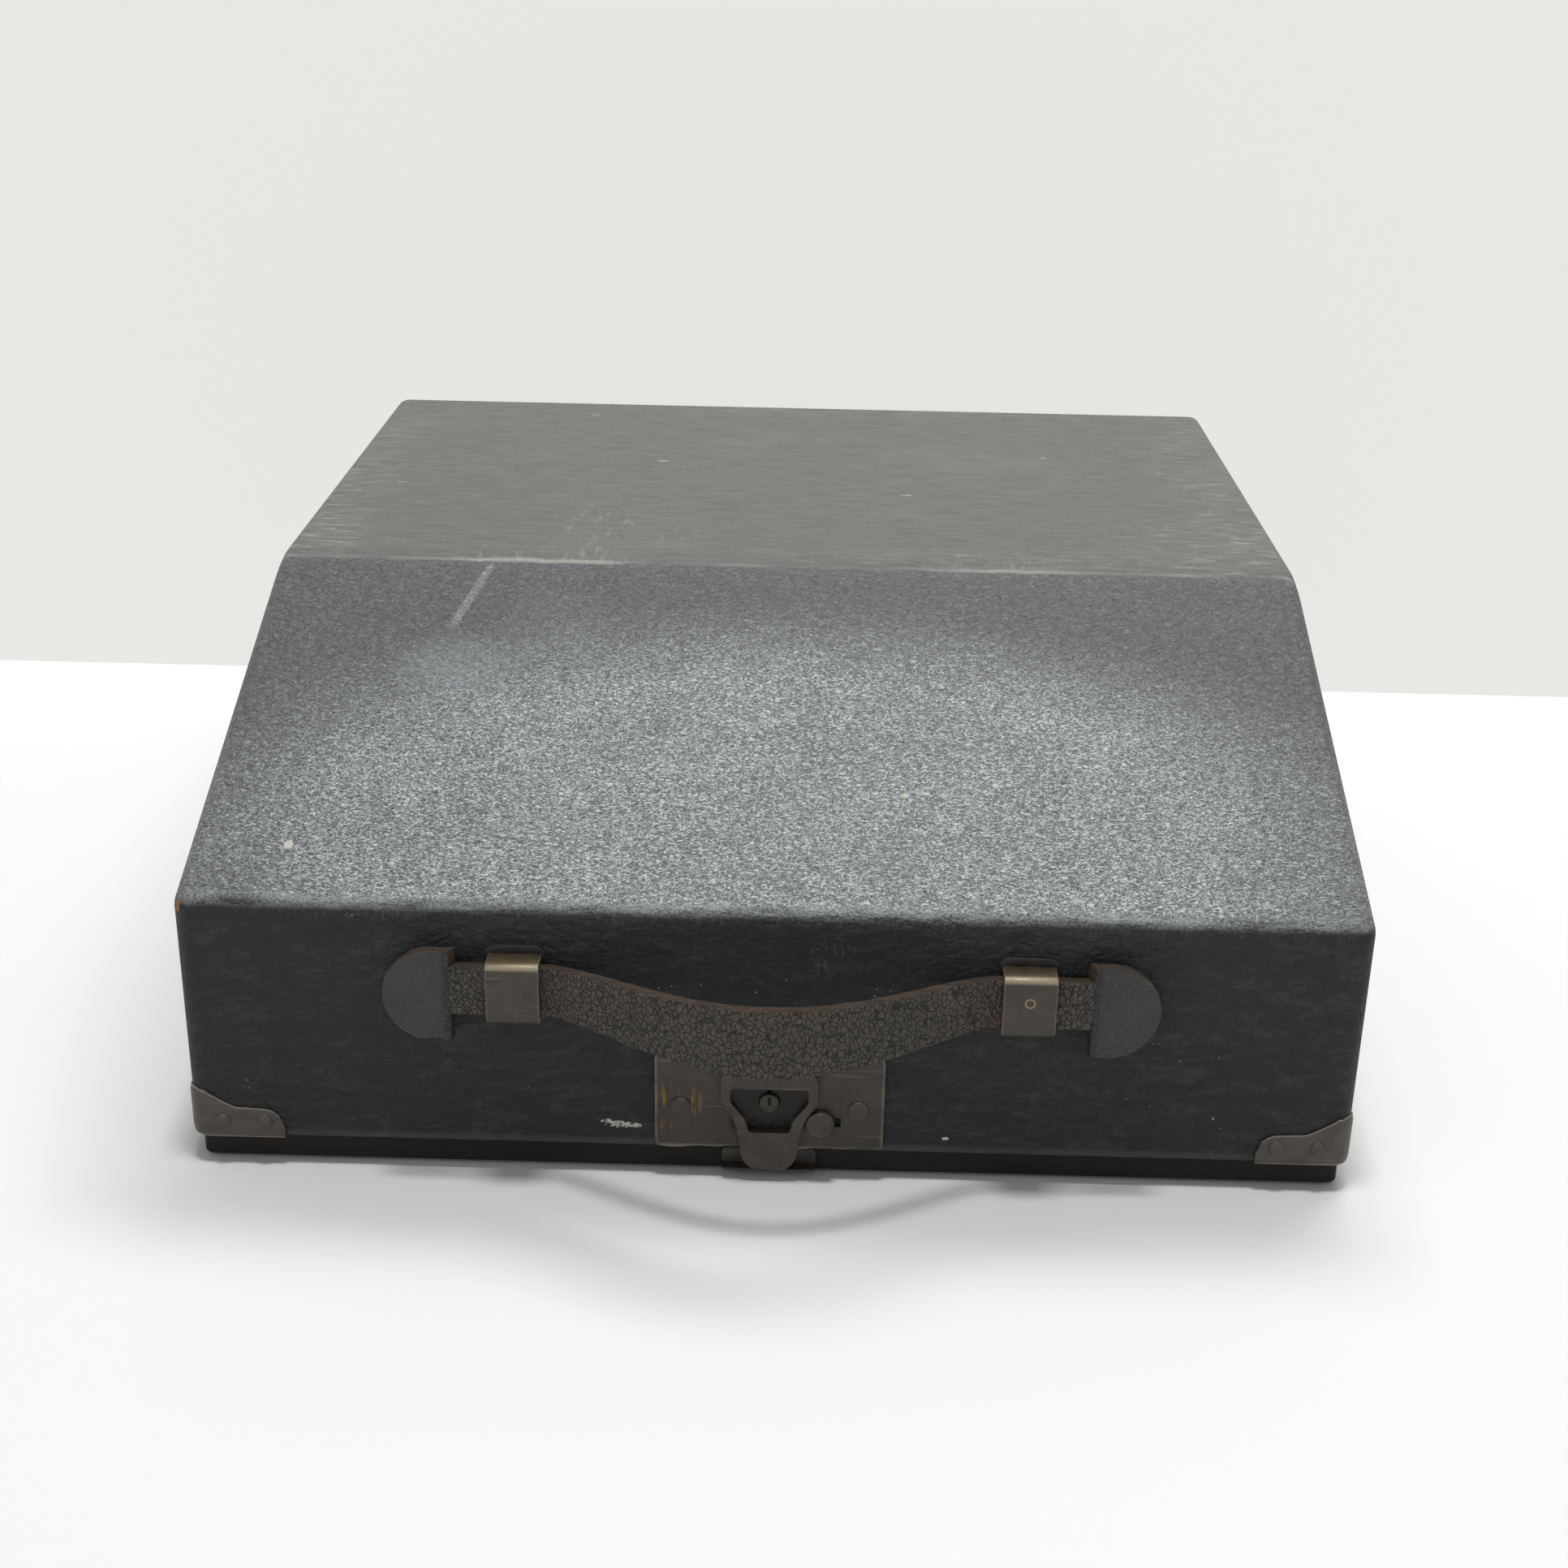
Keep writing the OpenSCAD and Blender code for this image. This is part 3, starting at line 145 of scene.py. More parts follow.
class Finish:
    """One material: a shader, its fixed amounts, and the nodes that vary it."""

    def __init__(self, name, **fixed):
        self.material = bpy.data.materials.new(name)
        self.material.use_nodes = True
        self.tree = self.material.node_tree
        self.tree.nodes.clear()
        self.shader = self.tree.nodes.new("ShaderNodeBsdfPrincipled")
        out = self.tree.nodes.new("ShaderNodeOutputMaterial")
        self.tree.links.new(self.shader.outputs[0], out.inputs[0])
        for words, amount in fixed.items():
            self.shader.inputs[words.replace("_", " ").title().replace("Ior", "IOR")].default_value = amount
        self.place = self.node("ShaderNodeTexCoord", {}, {}, "Object")

    def node(self, kind, settings, inputs, out=0):
        made = self.tree.nodes.new(kind)
        for name, setting in settings.items():
            setattr(made, name, setting)
        for name, amount in inputs.items():
            if isinstance(amount, Value):
                self.tree.links.new(amount.socket, made.inputs[name])
            else:
                made.inputs[name].default_value = amount
        return Value(self, made.outputs[out])

    def parts(self):
        """The place on the piece as three numbers, in millimetres."""
        big = self.node("ShaderNodeVectorMath", {"operation": "SCALE"}, {0: self.place, "Scale": 1000})
        return [self.node("ShaderNodeSeparateXYZ", {}, {0: big}, i) for i in range(3)]

    def stretched(self, stretch, turn=(0, 0, 0), at=None):
        return self.node("ShaderNodeMapping", {}, {
            "Vector": at or self.place, "Scale": stretch, "Rotation": [math.radians(a) for a in turn]})

    def noise(self, per_metre, detail=3, rough=0.55, stretch=(1, 1, 1), turn=(0, 0, 0), bend=0.0):
        return self.node("ShaderNodeTexNoise", {}, {
            "Vector": self.stretched(stretch, turn), "Scale": per_metre, "Detail": detail,
            "Roughness": rough, "Distortion": bend})

    def cells(self, per_metre, kind="F1", stretch=(1, 1, 1), at=None):
        return self.node("ShaderNodeTexVoronoi", {"feature": kind}, {
            "Vector": self.stretched(stretch, at=at), "Scale": per_metre})

    def shifted(self, amount, per_metre):
        """The place, moved about by a soft noise, for wandering lines."""
        wander = self.node("ShaderNodeTexNoise", {}, {"Vector": self.place, "Scale": per_metre}, "Color")
        step = self.node("ShaderNodeVectorMath", {"operation": "SCALE"}, {0: wander, "Scale": amount})
        return self.node("ShaderNodeVectorMath", {"operation": "ADD"}, {0: self.place, 1: step})

    def mix(self, share, first, second):
        first, second = [(*c, 1) if isinstance(c, tuple) else c for c in (first, second)]
        return self.node("ShaderNodeMix", {"data_type": "RGBA"}, {0: share, 6: first, 7: second}, 2)

    def blob(self, centre, size):
        """1 at a place on the piece, fading to 0 at the given distances along X, Y and Z, in millimetres."""
        x, y, z = self.parts()
        away = [((v - c) / s) ** 2 for v, c, s in zip((x, y, z), centre, size)]
        return 1 - (away[0] + away[1] + away[2]).step(0, 1)

    def blobs(self, spots):
        """Blobs added up, from rows of x, run behind the front, z, the three sizes and a share."""
        total = 0
        for x, run, z, wide, deep, tall, share in spots:
            spot = self.blob((x, FRONT + run, z), (wide, deep, tall))
            total = (spot if share == 1 else spot * share) + total
        return total

    def finish(self, colour, roughness, height=None, depth=0.0, strength=1.0):
        links = self.tree.links
        links.new(colour.socket, self.shader.inputs["Base Color"])
        if isinstance(roughness, Value):
            links.new(roughness.socket, self.shader.inputs["Roughness"])
        else:
            self.shader.inputs["Roughness"].default_value = roughness
        if height is not None:
            amounts = {"Strength": strength, "Distance": depth, "Height": height}
            bump = self.node("ShaderNodeBump", {}, amounts)
            links.new(bump.socket, self.shader.inputs["Normal"])
        return self.material


def rgb(code):
    """A colour written as on a paint chart, made linear."""
    parts = [int(code[i:i + 2], 16) / 255 for i in (0, 2, 4)]
    return tuple(c / 12.92 if c < 0.04045 else ((c + 0.055) / 1.055) ** 2.4 for c in parts)


# Black leatherette, glued over the hood's thin boards
def leatherette():
    f = Finish("leatherette", specular_ior_level=0.45)
    x, y, z = f.parts()
    run = y - FRONT
    side = WIDE - abs(x)
    ends = run.low(DEEP - run)
    flat = BOTTOM + TOP - z
    rise, lean = 0.3649, 0.9394
    slant = (run * rise + (BOTTOM + FRONT_TOP) - z) * lean
    second = side.low(ends).high(slant.low(flat)).low(side.high(ends).low(slant.high(flat * 3)))
    is_top = flat.step(3.0, 1.2) * run.step(139, 144)
    is_slope = slant.step(3.5, 1.2) * (1 - is_top) * run.step(0.8, 3.4)

    # Grain: crinkles a millimetre long that lie across the case, with small pits between them
    warp = f.shifted(0.0022, 380)
    pebbles = f.cells(760, stretch=(0.6, 1, 1), at=warp)
    veins = f.cells(820, "DISTANCE_TO_EDGE", (0.55, 1, 1), at=warp)
    crinkle = f.noise(1450, 3, 0.6, (0.5, 1, 1), bend=0.9)
    fine = f.noise(2400, 2, 0.6, (0.6, 1, 1))
    rows = f.noise(420, 4, 0.62, (0.16, 1, 1))
    broad = f.noise(38, 4, 0.6)
    patchy = f.noise(12, 3, 0.6)
    hills = f.cells(330, "DISTANCE_TO_EDGE", (0.55, 1, 0.8), at=f.shifted(0.004, 240))
    folds = f.noise(170, 4, 0.6, (0.35, 1, 1), bend=1.4)
    streaks = f.noise(150, 5, 0.7, (0.1, 0.8, 0.8))
    relief = abs(crinkle - 0.5) * 3.2
    pits = f.noise(900, 1, 0.5, (0.7, 1, 1)).step(0.33, 0.24)

    # Colour: near black where it is upright; the slope's silvery grey is partly rubbed wear and dust, partly
    # painted sheen
    net = veins.step(0.16, 0.0)
    rubbed = relief.step(0.05, 0.42) * (0.4 + broad * 0.6) + (fine - 0.5) * 0.5 + net * 0.3
    tone = f.mix((rows * 0.6 + crinkle * 0.6).step(0.42, 0.8), rgb("060607"), rgb("101113"))
    front = f.mix(streaks.step(0.5, 0.8) * (z - BOTTOM).step(66, 20) * 0.5, tone, rgb("27282c"))
    front = f.mix((fine * 0.7 + relief * 0.3 + broad * 0.4).step(0.62, 0.95) * 0.3, front, rgb("303236"))
    front = f.mix(folds.step(0.48, 0.64) * (0.3 + fine * 0.6), front, rgb("2e3136"))
    front = f.mix((rows * 0.6 + fine * 0.5).step(0.6, 0.8) * 0.5, front, rgb("3b3c40"))
    front = f.mix(hills.step(0.14, 0.0) * 0.7, front, rgb("030304"))
    # Painted sheen: a broad light patch across the middle of the slope, with darker grain cells where it
    # fades
    painted_sheen = (f.blob((2, FRONT + 28, 90), (196, 118, 70)) * 1.5).low(1) * 0.8 + 0.2
    slope = f.mix(rubbed.step(0.0, 1.0) * painted_sheen, rgb("3e4042"), rgb("cdd2d4"))
    slope = f.mix(hills.step(0.1, 0.0) * (1.1 - painted_sheen) * 0.5, slope, rgb("232526"))
    slope = f.mix(pits * 0.4, slope, rgb("1f2122"))
    top = f.mix((rows * 0.7 + crinkle * 0.5).step(0.35, 0.85), rgb("4e4f4d"), rgb("696a66"))
    top = f.mix((patchy * 0.55 + streaks * 0.5).step(0.5, 0.72) * 0.3, top, rgb("7a7b77"))
    colour = f.mix(is_slope, front, slope)
    colour = f.mix(is_top, colour, top)

    # Wear: a thin speckled line along the front's top edge, hairs of bare cloth below it
    hairs = f.noise(900, 3, 0.7, (1, 0.3, 0.3), (0, 12, 0)).step(0.5, 0.7)
    below = BOTTOM + FRONT_TOP - z
    speckled = (fine * 0.8 + rows * 0.8 + broad * 0.5).step(0.8, 1.35)
    lip = abs(slant - 0.9).step(1.7, 0.1) * run.step(5, 1.5) * speckled
    colour = f.mix(lip * 0.9, colour, rgb("adb2b4"))
    frayed = below.step(6, 1.0) * run.step(3, 0.8) * hairs * (broad + fine * 0.5).step(0.5, 0.95)
    colour = f.mix(frayed * 0.6, colour, rgb("6d7275"))
    ragged = (second * 0.2 + (1 - rows) * 0.7 + (1 - streaks) * 0.6).step(0.98, 0.6)
    edge = ragged * second.step(2.6, 0.3) * (broad * 0.5 + 0.05)
    colour = f.mix(edge, colour, rgb("6f7171"))

    # The fold between slope and top, whitened in patches with spurs that run up onto the top
    fold = abs(run - 141.6 + (f.noise(90, 3) - 0.5) * 3.0)
    broken = (f.noise(26, 3, 0.6, (1, 0.2, 0.2)) * 0.9 + streaks * 0.35).step(0.5, 0.84)
    patches = (abs(x + 76).step(34, 16) + abs(x - 66).step(36, 8) * 0.6 + abs(x).step(150, 163)).low(1)
    worn_fold = fold.step(1.9, 0.2) * flat.step(4, 1.5) * (0.16 + broken * 0.4 + patches * 0.75)
    hatch = f.noise(330, 4, 0.75, (1, 0.22, 1), (0, 0, 33)).step(0.52, 0.7)
    plumes = f.blobs([(-62, 178, 133, 15, 36, 12, 1), (-35, 168, 133, 9, 16, 12, 1)])
    spurs = (fold.step(20, 2) * (patches * 0.8 + broken * 0.3) + plumes).low(1) * hatch * is_top
    whitened = (worn_fold * (fine * 0.6 + rows * 0.5).step(0.25, 0.65) + spurs * 0.6).low(1)
    colour = f.mix(whitened * 0.85, colour, rgb("a3a39c"))
    hem = (z - BOTTOM).step(3.6, 1.6) * run.step(3, 1) * (0.35 + streaks * 0.6)
    colour = f.mix(hem * 0.7, colour, rgb("4a4c4d"))

    # Dust caught in the grain at the corners of the top, crease marks, scuffs and pale specks
    brushed = f.noise(420, 4, 0.7, (0.22, 1, 1), (0, 0, 24)).step(0.48, 0.72)
    dusty = f.blobs([
        (144, 172, 133, 50, 40, 40, 1), (-156, 168, 133, 26, 50, 40, 1),
        (148, 262, 133, 22, 90, 40, 0.7), (-152, 250, 133, 16, 90, 40, 0.7),
        (60, 150, 133, 90, 12, 30, 0.5), (0, 346, 133, 160, 14, 40, 0.4)])
    colour = f.mix(dusty.low(1) * brushed * (0.35 + patchy) * is_top * 0.8, colour, rgb("a6a7a1"))
    sparse = f.noise(30, 2).step(0.45, 0.6)
    ticks = f.cells(70, stretch=(0.35, 1, 1), at=warp).step(0.07, 0.03) * sparse * is_top
    colour = f.mix(ticks * 0.8, colour, rgb("b6b6ae"))
    bend = abs((x + 91.5) - (run - 141) * 0.288).step(1.9, 0.3)
    bend = (bend * f.blob((-97, FRONT + 124, 127), (14, 21, 22))).low(0.5) * 2
    colour = f.mix(bend * (fine * 0.8 + crinkle * 0.7).step(0.6, 0.95) * 0.8, colour, rgb("a5a8a8"))
    cloud = f.blobs([(-96, 92, 115, 24, 17, 20, 0.55), (-70, 112, 122, 22, 22, 20, 0.2)]) \
        * (fine + relief * 0.3).step(0.35, 0.75)
    colour = f.mix(cloud, colour, rgb("92979a"))
    grit = f.cells(330, at=warp).step(0.12, 0.05)
    strips = f.blobs([(4, 0, 58.5, 52, 3, 5, 0.9), (108, 0, 38, 36, 3, 30, 0.35)])
    dust = (f.noise(60, 2).step(0.6, 0.74) * 0.5 + strips).low(1) + (f.noise(170, 1) - 0.5) * 0.9
    colour = f.mix(dust.step(0.35, 0.6) * grit * 0.85, colour, rgb("b9bab6"))
    haze = f.blob((16, FRONT, 69), (8, 4, 8)) * hairs
    colour = f.mix(haze * 0.4, colour, rgb("747979"))
    fleck = f.blobs([
        (-132.3, 20, 88.8, 1.9, 2.7, 2.2, 1), (35.5, 43.8, 97.5, 0.9, 1.2, 1.2, 1),
        (-131.5, 11, 85.5, 1.2, 8, 4, 0.42), (48.7, 0, 13.6, 1.5, 4, 0.8, 1),
        (-39.5, 0, 15.4, 7.5, 4, 1.4, 0.8), (-44, 0, 16.6, 5, 4, 1, 0.7)])
    bared = (fleck + (fine - 0.5) * 1.6 + (crinkle - 0.5) * 1.2 + (hairs - 0.5) * 0.2).step(0.5, 0.7)
    colour = f.mix(bared * (fleck * 8).low(1), colour, rgb("c6c5bc"))

    # The board shows where the covering is chipped off at the corners
    chips = f.blobs([
        (-159.2, 0.6, 79.6, 2.1, 2.6, 4.2, 1), (160, 1, 80.2, 2, 3, 2.4, 1),
        (159.4, 143, 132.6, 2, 3, 1.6, 1), (-160, 349, 133, 3, 4, 4, 1),
        (160, 349, 132, 3, 4, 3, 1), (-160, 144, 132.5, 1.6, 2, 2, 1)])
    bare = (chips + (rows - 0.5) * 1.3 + (fine - 0.5) * 0.8).step(0.42, 0.52)
    wood = f.mix(f.noise(700, 3, 0.6, (1, 0.2, 1)), rgb("6f5537"), rgb("a88a5e"))
    colour = f.mix(bare, colour, wood)

    # Sheen: satin on the rubbed slope, dull under the dust
    shine = 0.4 + relief * -0.04 + edge * 0.16 + bare * 0.4 + is_top * 0.1 + (broad - 0.5) * 0.16 \
        + (1 - is_slope) * (1 - is_top) * 0.2 + pits * 0.15
    grain = fine * 0.35 + rows * 0.5 - relief.low(1) * 0.55 - pebbles * 0.5 - veins.step(0.12, 0.0) * 0.35
    swells = (1 - is_top) * (hills.step(0.0, 0.3) * 0.9 + folds * (1 - is_slope) * 3)
    wear = (edge + frayed + lip) * fine * 0.8 + worn_fold * 0.4 - bare * 1.5
    height = grain + swells + wear - pits * 0.5
    return f.finish(colour, shine, height, depth=0.00026, strength=0.9)


# Cloth paper glued inside the hood
def lining():
    f = Finish("lining", specular_ior_level=0.2)
    threads = f.noise(900, 2, 0.5, (1, 1, 0.3)) + f.noise(900, 2, 0.5, (0.3, 1, 1))
    stains = f.noise(22, 4, 0.6)
    colour = f.mix(stains.step(0.35, 0.75), rgb("1e2022"), rgb("2c2d2d"))
    colour = f.mix((threads - 0.8).step(0.0, 0.5) * 0.5, colour, rgb("3a3b3a"))
    return f.finish(colour, 0.85 - stains * 0.1, threads, depth=0.00012, strength=0.6)


# Handle leather: brown-black, crackled into small islands, finer towards the loops; pale where its rims rub
def handle_leather(name, cracked, base, rim):
    f = Finish(name, specular_ior_level=0.4)
    x = f.parts()[0]
    warp = f.shifted(0.0022, 420)
    lines = f.cells(740, "DISTANCE_TO_EDGE", (1, 0.6, 0.72), at=warp)
    minor = f.cells(1350, "DISTANCE_TO_EDGE", (1, 0.6, 0.85), at=warp)
    fine = f.noise(1500, 3, 0.6)
    broad = f.noise(70, 4, 0.6)
    neck = abs(x).step(60, 68) * abs(x).step(89, 84.5)
    deep = lines.step(0.11, 0.01) * (0.45 + broad * 0.8)
    crack = (deep + minor.step(0.09, 0.0) * 0.4).low(1) * (cracked + neck * (1 - cracked))
    tint = f.mix(broad.step(0.3, 0.7), rgb(base), tuple(c * 1.3 for c in rgb(base)))
    colour = f.mix(fine.step(0.4, 0.75) * 0.35, tint, rgb("615c57"))
    colour = f.mix(crack.step(0.05, 0.8) * 0.9, colour, rgb("0c0a09"))
    rust = abs(x).step(45, 60) * abs(x).step(78, 64) * (broad + fine * 0.6).step(0.7, 1.0)
    colour = f.mix(rust * 0.5, colour, rgb("5a3f24"))
    worn = f.node("ShaderNodeAttribute", {"attribute_name": "worn"}, {}, 2)
    fray = (worn + (fine - 0.5) * 0.5 + (broad - 0.5) * 1.1).step(0.86, 1.15)
    hide = f.mix(f.noise(900, 3, 0.7, (0.25, 1, 1)), rgb("4a4038"), rgb(rim))
    colour = f.mix(fray, colour, hide)
    rough = 0.5 + fray * 0.3 + crack * 0.2 + (fine - 0.5) * 0.1
    height = fine * 0.3 - crack * 1.3 + fray * fine * 0.8 + broad * 0.3
    return f.finish(colour, rough, height, depth=0.00035, strength=0.95)


# The cut edge of the leather, fibrous and pale
def raw_edge():
    f = Finish("raw_edge", specular_ior_level=0.15)
    layers = f.noise(500, 4, 0.65, (0.12, 2.2, 1))
    fuzz = f.noise(1700, 3, 0.7)
    dirt = f.noise(90, 4, 0.6)
    colour = f.mix((layers * 0.7 + fuzz * 0.5).step(0.35, 0.8), rgb("231d19"), rgb("4c4138"))
    colour = f.mix(dirt.step(0.45, 0.7) * 0.6, colour, rgb("2a221d"))
    return f.finish(colour, 0.85, layers + fuzz * 0.6, depth=0.00025, strength=0.8)


# Tarnished sheet steel, brown-grey, with a little rust and many fine scratches
def old_steel(name, base, light, rust, shine=0.44, more=None):
    f = Finish(name, metallic=0.45)
    scratch = f.noise(800, 3, 0.6, (0.07, 1, 1), (0, 35, 0)) * 0.5
    scratch = scratch + f.noise(900, 3, 0.6, (0.07, 1, 1), (0, -50, 0)) * 0.5
    blotch = f.noise(130, 5, 0.65, bend=0.6)
    speck = f.noise(1300, 3, 0.7)
    grey = f.noise(1000, 2, 0.6, (0.25, 1, 0.5))
    dull = blotch.step(0.3, 0.72)
    colour = f.mix(dull * 0.7 + grey * 0.3, rgb(base), rgb(light))
    colour = f.mix(scratch.step(0.57, 0.7) * 0.3, colour, rgb("857f75"))
    colour = f.mix((speck * 0.6 + blotch * 0.6).step(0.66, 0.82) * 0.55, colour, rgb(rust))
    if more:
        colour = more(f, colour, speck, blotch)
    rough = shine + dull * 0.12 + (speck - 0.5) * 0.22
    return f.finish(colour, rough, speck * 0.5 + scratch * 0.5 + blotch * 0.7, depth=0.0001, strength=0.5)


# The lock plate: yellow grease and scratches round its left rivet, a rubbed lower edge, and painted shade
# behind the hasp
def lock_wear(f, colour, speck, blotch):
    x, y, z = f.parts()
    slashes = f.noise(620, 3, 0.65, (1, 1, 0.12), (0, 28, 0)).step(0.5, 0.62)
    patch = f.blob((-27.5, FRONT, 21.5), (6, 6, 10)) + f.blob((-20.5, FRONT, 23.5), (2.6, 6, 6))
    grease = (patch * slashes + patch * speck.step(0.55, 0.8) * 0.3).low(1)
    colour = f.mix(grease * 0.8, colour, rgb("8d6f2c"))
    up = z - BOTTOM
    rubbed = up.step(2.6, 1.3) * (0.3 + blotch)
    colour = f.mix(rubbed * 0.7, colour, rgb("8d857b"))
    # Painted shade: the plate's face behind the hasp's open middle is darkened almost to black
    shade_behind_hasp = abs(x).step(11.4, 10) * up.step(6.6, 8) * up.step(22.5, 21) * y.step(FRONT - 0.9, FRONT - 1.1)
    colour = f.mix(shade_behind_hasp * 0.8, colour, rgb("100d0b"))
    sides = abs(x).step(30.3, 31.3) * y.step(FRONT - 0.9, FRONT - 1.15)
    return f.mix(sides * (blotch + speck * 0.5).step(0.5, 0.9) * 0.6, colour, rgb("867f74"))


# The loops: warm over the top, rubbed bright and painted with a highlight along the bend, with a small ring
# stamped in the right one
def loop_wear(f, colour, speck, blotch):
    x, y, z = f.parts()
    up = z - BOTTOM
    shelf = up.step(58.6, 59.5)
    colour = f.mix(shelf * (0.4 + blotch * 0.6), colour, rgb("5b4c33"))
    # Painted highlight along the bend, over metal that is rubbed bright there
    glow = abs(up - 58.9).step(1.0, 0.1) * y.step(FRONT - 6.5, FRONT - 7.8)
    colour = f.mix(glow * 0.6, colour, rgb("a89d86"))
    ends = abs(abs(x) - LOOP_AT).step(6.6, 7.1) * 0.55 + up.step(42.9, 42.3) * 0.6
    colour = f.mix(ends.low(1) * (0.5 + speck * 0.7), colour, rgb("8c8678"))
    away = ((x - LOOP_AT) ** 2 + (up - 52.6) ** 2) ** 0.5
    ring = abs(away - 1.25).step(0.34, 0.12) * y.step(FRONT - 8, FRONT - 8.4)
    return f.mix(ring * 0.75, colour, rgb("9c8a5e"))


# The corner plates: rims rubbed pale
def rim_wear(f, colour, speck, blotch):
    worn = f.node("ShaderNodeAttribute", {"attribute_name": "worn"}, {}, 2)
    return f.mix((worn + (speck - 0.5) * 0.4).step(0.6, 0.95) * 0.75, colour, rgb("918980"))


def stained_board():
    f = Finish("board_wood", specular_ior_level=0.3)
    rings = f.noise(180, 4, 0.6, (0.06, 1, 1.6), bend=0.4)
    pores = f.noise(1400, 2, 0.6, (0.06, 1, 1))
    wear = f.noise(40, 4, 0.65)
    colour = f.mix(rings.step(0.3, 0.7), rgb("0b0908"), rgb("191411"))
    colour = f.mix(pores.step(0.58, 0.72) * 0.5, colour, rgb("080706"))
    colour = f.mix(wear.step(0.6, 0.85) * 0.3, colour, rgb("3a3027"))
    return f.finish(colour, 0.66 + wear * 0.15, rings + pores * 0.5, depth=0.00015, strength=0.5)


def bare_wood():
    f = Finish("rim_wood", specular_ior_level=0.3)
    rings = f.noise(240, 4, 0.6, (0.05, 1, 2), bend=0.5)
    pores = f.noise(1500, 2, 0.6, (0.05, 1, 1))
    grime = f.noise(35, 4, 0.65)
    colour = f.mix(rings.step(0.3, 0.7), rgb("8c6b45"), rgb("b8935f"))
    colour = f.mix(pores.step(0.55, 0.7) * 0.5, colour, rgb("5d4228"))
    colour = f.mix(grime.step(0.45, 0.75) * 0.5, colour, rgb("4d3b2a"))
    return f.finish(colour, 0.6 + grime * 0.15, rings + pores * 0.5, depth=0.00015, strength=0.5)


# The machine's own finishes
def enamel():
    f = Finish("machine_enamel", coat_weight=0.6, coat_roughness=0.12)
    flow = f.noise(70, 2, 0.5)
    dust = f.noise(500, 4, 0.65)
    chipped = f.cells(90).step(0.09, 0.05) * f.noise(35, 3).step(0.55, 0.68)
    colour = f.mix(flow, rgb("0e0f11"), rgb("17191c"))
    colour = f.mix((dust * flow).step(0.25, 0.5) * 0.25, colour, rgb("5a5a57"))
    colour = f.mix(chipped, colour, rgb("77736a"))
    return f.finish(colour, 0.26 + dust * 0.2 + chipped * 0.2, flow * 0.4 + dust * 0.1 - chipped * 0.8,
                    depth=0.0002, strength=0.35)


def bright_metal(name, base, dull, shine, stretch=(0.1, 1, 1)):
    f = Finish(name, metallic=1.0)
    brushed = f.noise(900, 3, 0.6, stretch)
    stain = f.noise(90, 4, 0.65, bend=0.4)
    speck = f.noise(1200, 2, 0.6)
    colour = f.mix(stain.step(0.42, 0.72), rgb(base), rgb(dull))
    colour = f.mix(speck.step(0.66, 0.8) * 0.5, colour, rgb("3f3a33"))
    return f.finish(colour, shine + stain * 0.15 + (brushed - 0.5) * 0.16, brushed + speck * 0.3,
                    depth=0.00005, strength=0.5)


def rubber(name, base, worn, shine):
    f = Finish(name, specular_ior_level=0.35)
    fine = f.noise(1600, 2, 0.6)
    broad = f.noise(60, 4, 0.6)
    colour = f.mix(broad.step(0.35, 0.75), rgb(base), rgb(worn))
    return f.finish(colour, shine + (fine - 0.5) * 0.15 + broad * 0.1, fine, depth=0.00006, strength=0.5)


def black_key():
    f = Finish("key_black", coat_weight=0.5, coat_roughness=0.1)
    fine = f.noise(1300, 3, 0.6)
    greasy = f.noise(120, 3, 0.6)
    colour = f.mix(greasy, rgb("0d0d0f"), rgb("1b1b1d"))
    return f.finish(colour, 0.22 + greasy * 0.2 + fine * 0.06, fine, depth=0.00003, strength=0.4)


def woven(name, base, light, per_metre):
    f = Finish(name, sheen_weight=0.25, sheen_roughness=0.6, specular_ior_level=0.15)
    x, y, z = f.parts()
    over = (x * per_metre).wave() * ((y + z) * per_metre).wave()
    fuzz = f.noise(1500, 4, 0.7)
    colour = f.mix(over * 0.25 + fuzz * 0.6, rgb(base), rgb(light))
    return f.finish(colour, 0.85 + (fuzz - 0.5) * 0.1, over * 0.4 + fuzz, depth=0.0001, strength=0.7)


# Floor and wall of the studio, as pale as they are written; light from behind comes through the wall
def plain_ground(name, shown, lit_share, one_sided=False):
    f = Finish(name, specular_ior_level=0.2)
    soft = f.noise(3, 2, 0.5)
    f.finish(f.mix(soft, rgb(shown), tuple(c * 0.985 for c in rgb(shown))), 0.6)
    glow = f.node("ShaderNodeEmission", {}, {"Color": (*rgb(shown), 1), "Strength": 1.0})
    camera = f.node("ShaderNodeLightPath", {}, {}, "Is Camera Ray")
    mirror = f.node("ShaderNodeLightPath", {}, {}, "Is Glossy Ray")
    surface = f.node("ShaderNodeMixShader", {}, {0: camera.high(mirror) * lit_share,
                                                 1: Value(f, f.shader.outputs[0]), 2: glow})
    if one_sided:
        behind = f.node("ShaderNodeNewGeometry", {}, {}, "Backfacing")
        behind = behind.high(f.node("ShaderNodeLightPath", {}, {}, "Is Shadow Ray"))
        clear = f.node("ShaderNodeBsdfTransparent", {}, {})
        surface = f.node("ShaderNodeMixShader", {}, {0: behind, 1: surface, 2: clear})
    f.tree.links.new(surface.socket, f.tree.nodes["Material Output"].inputs[0])
    return f.material


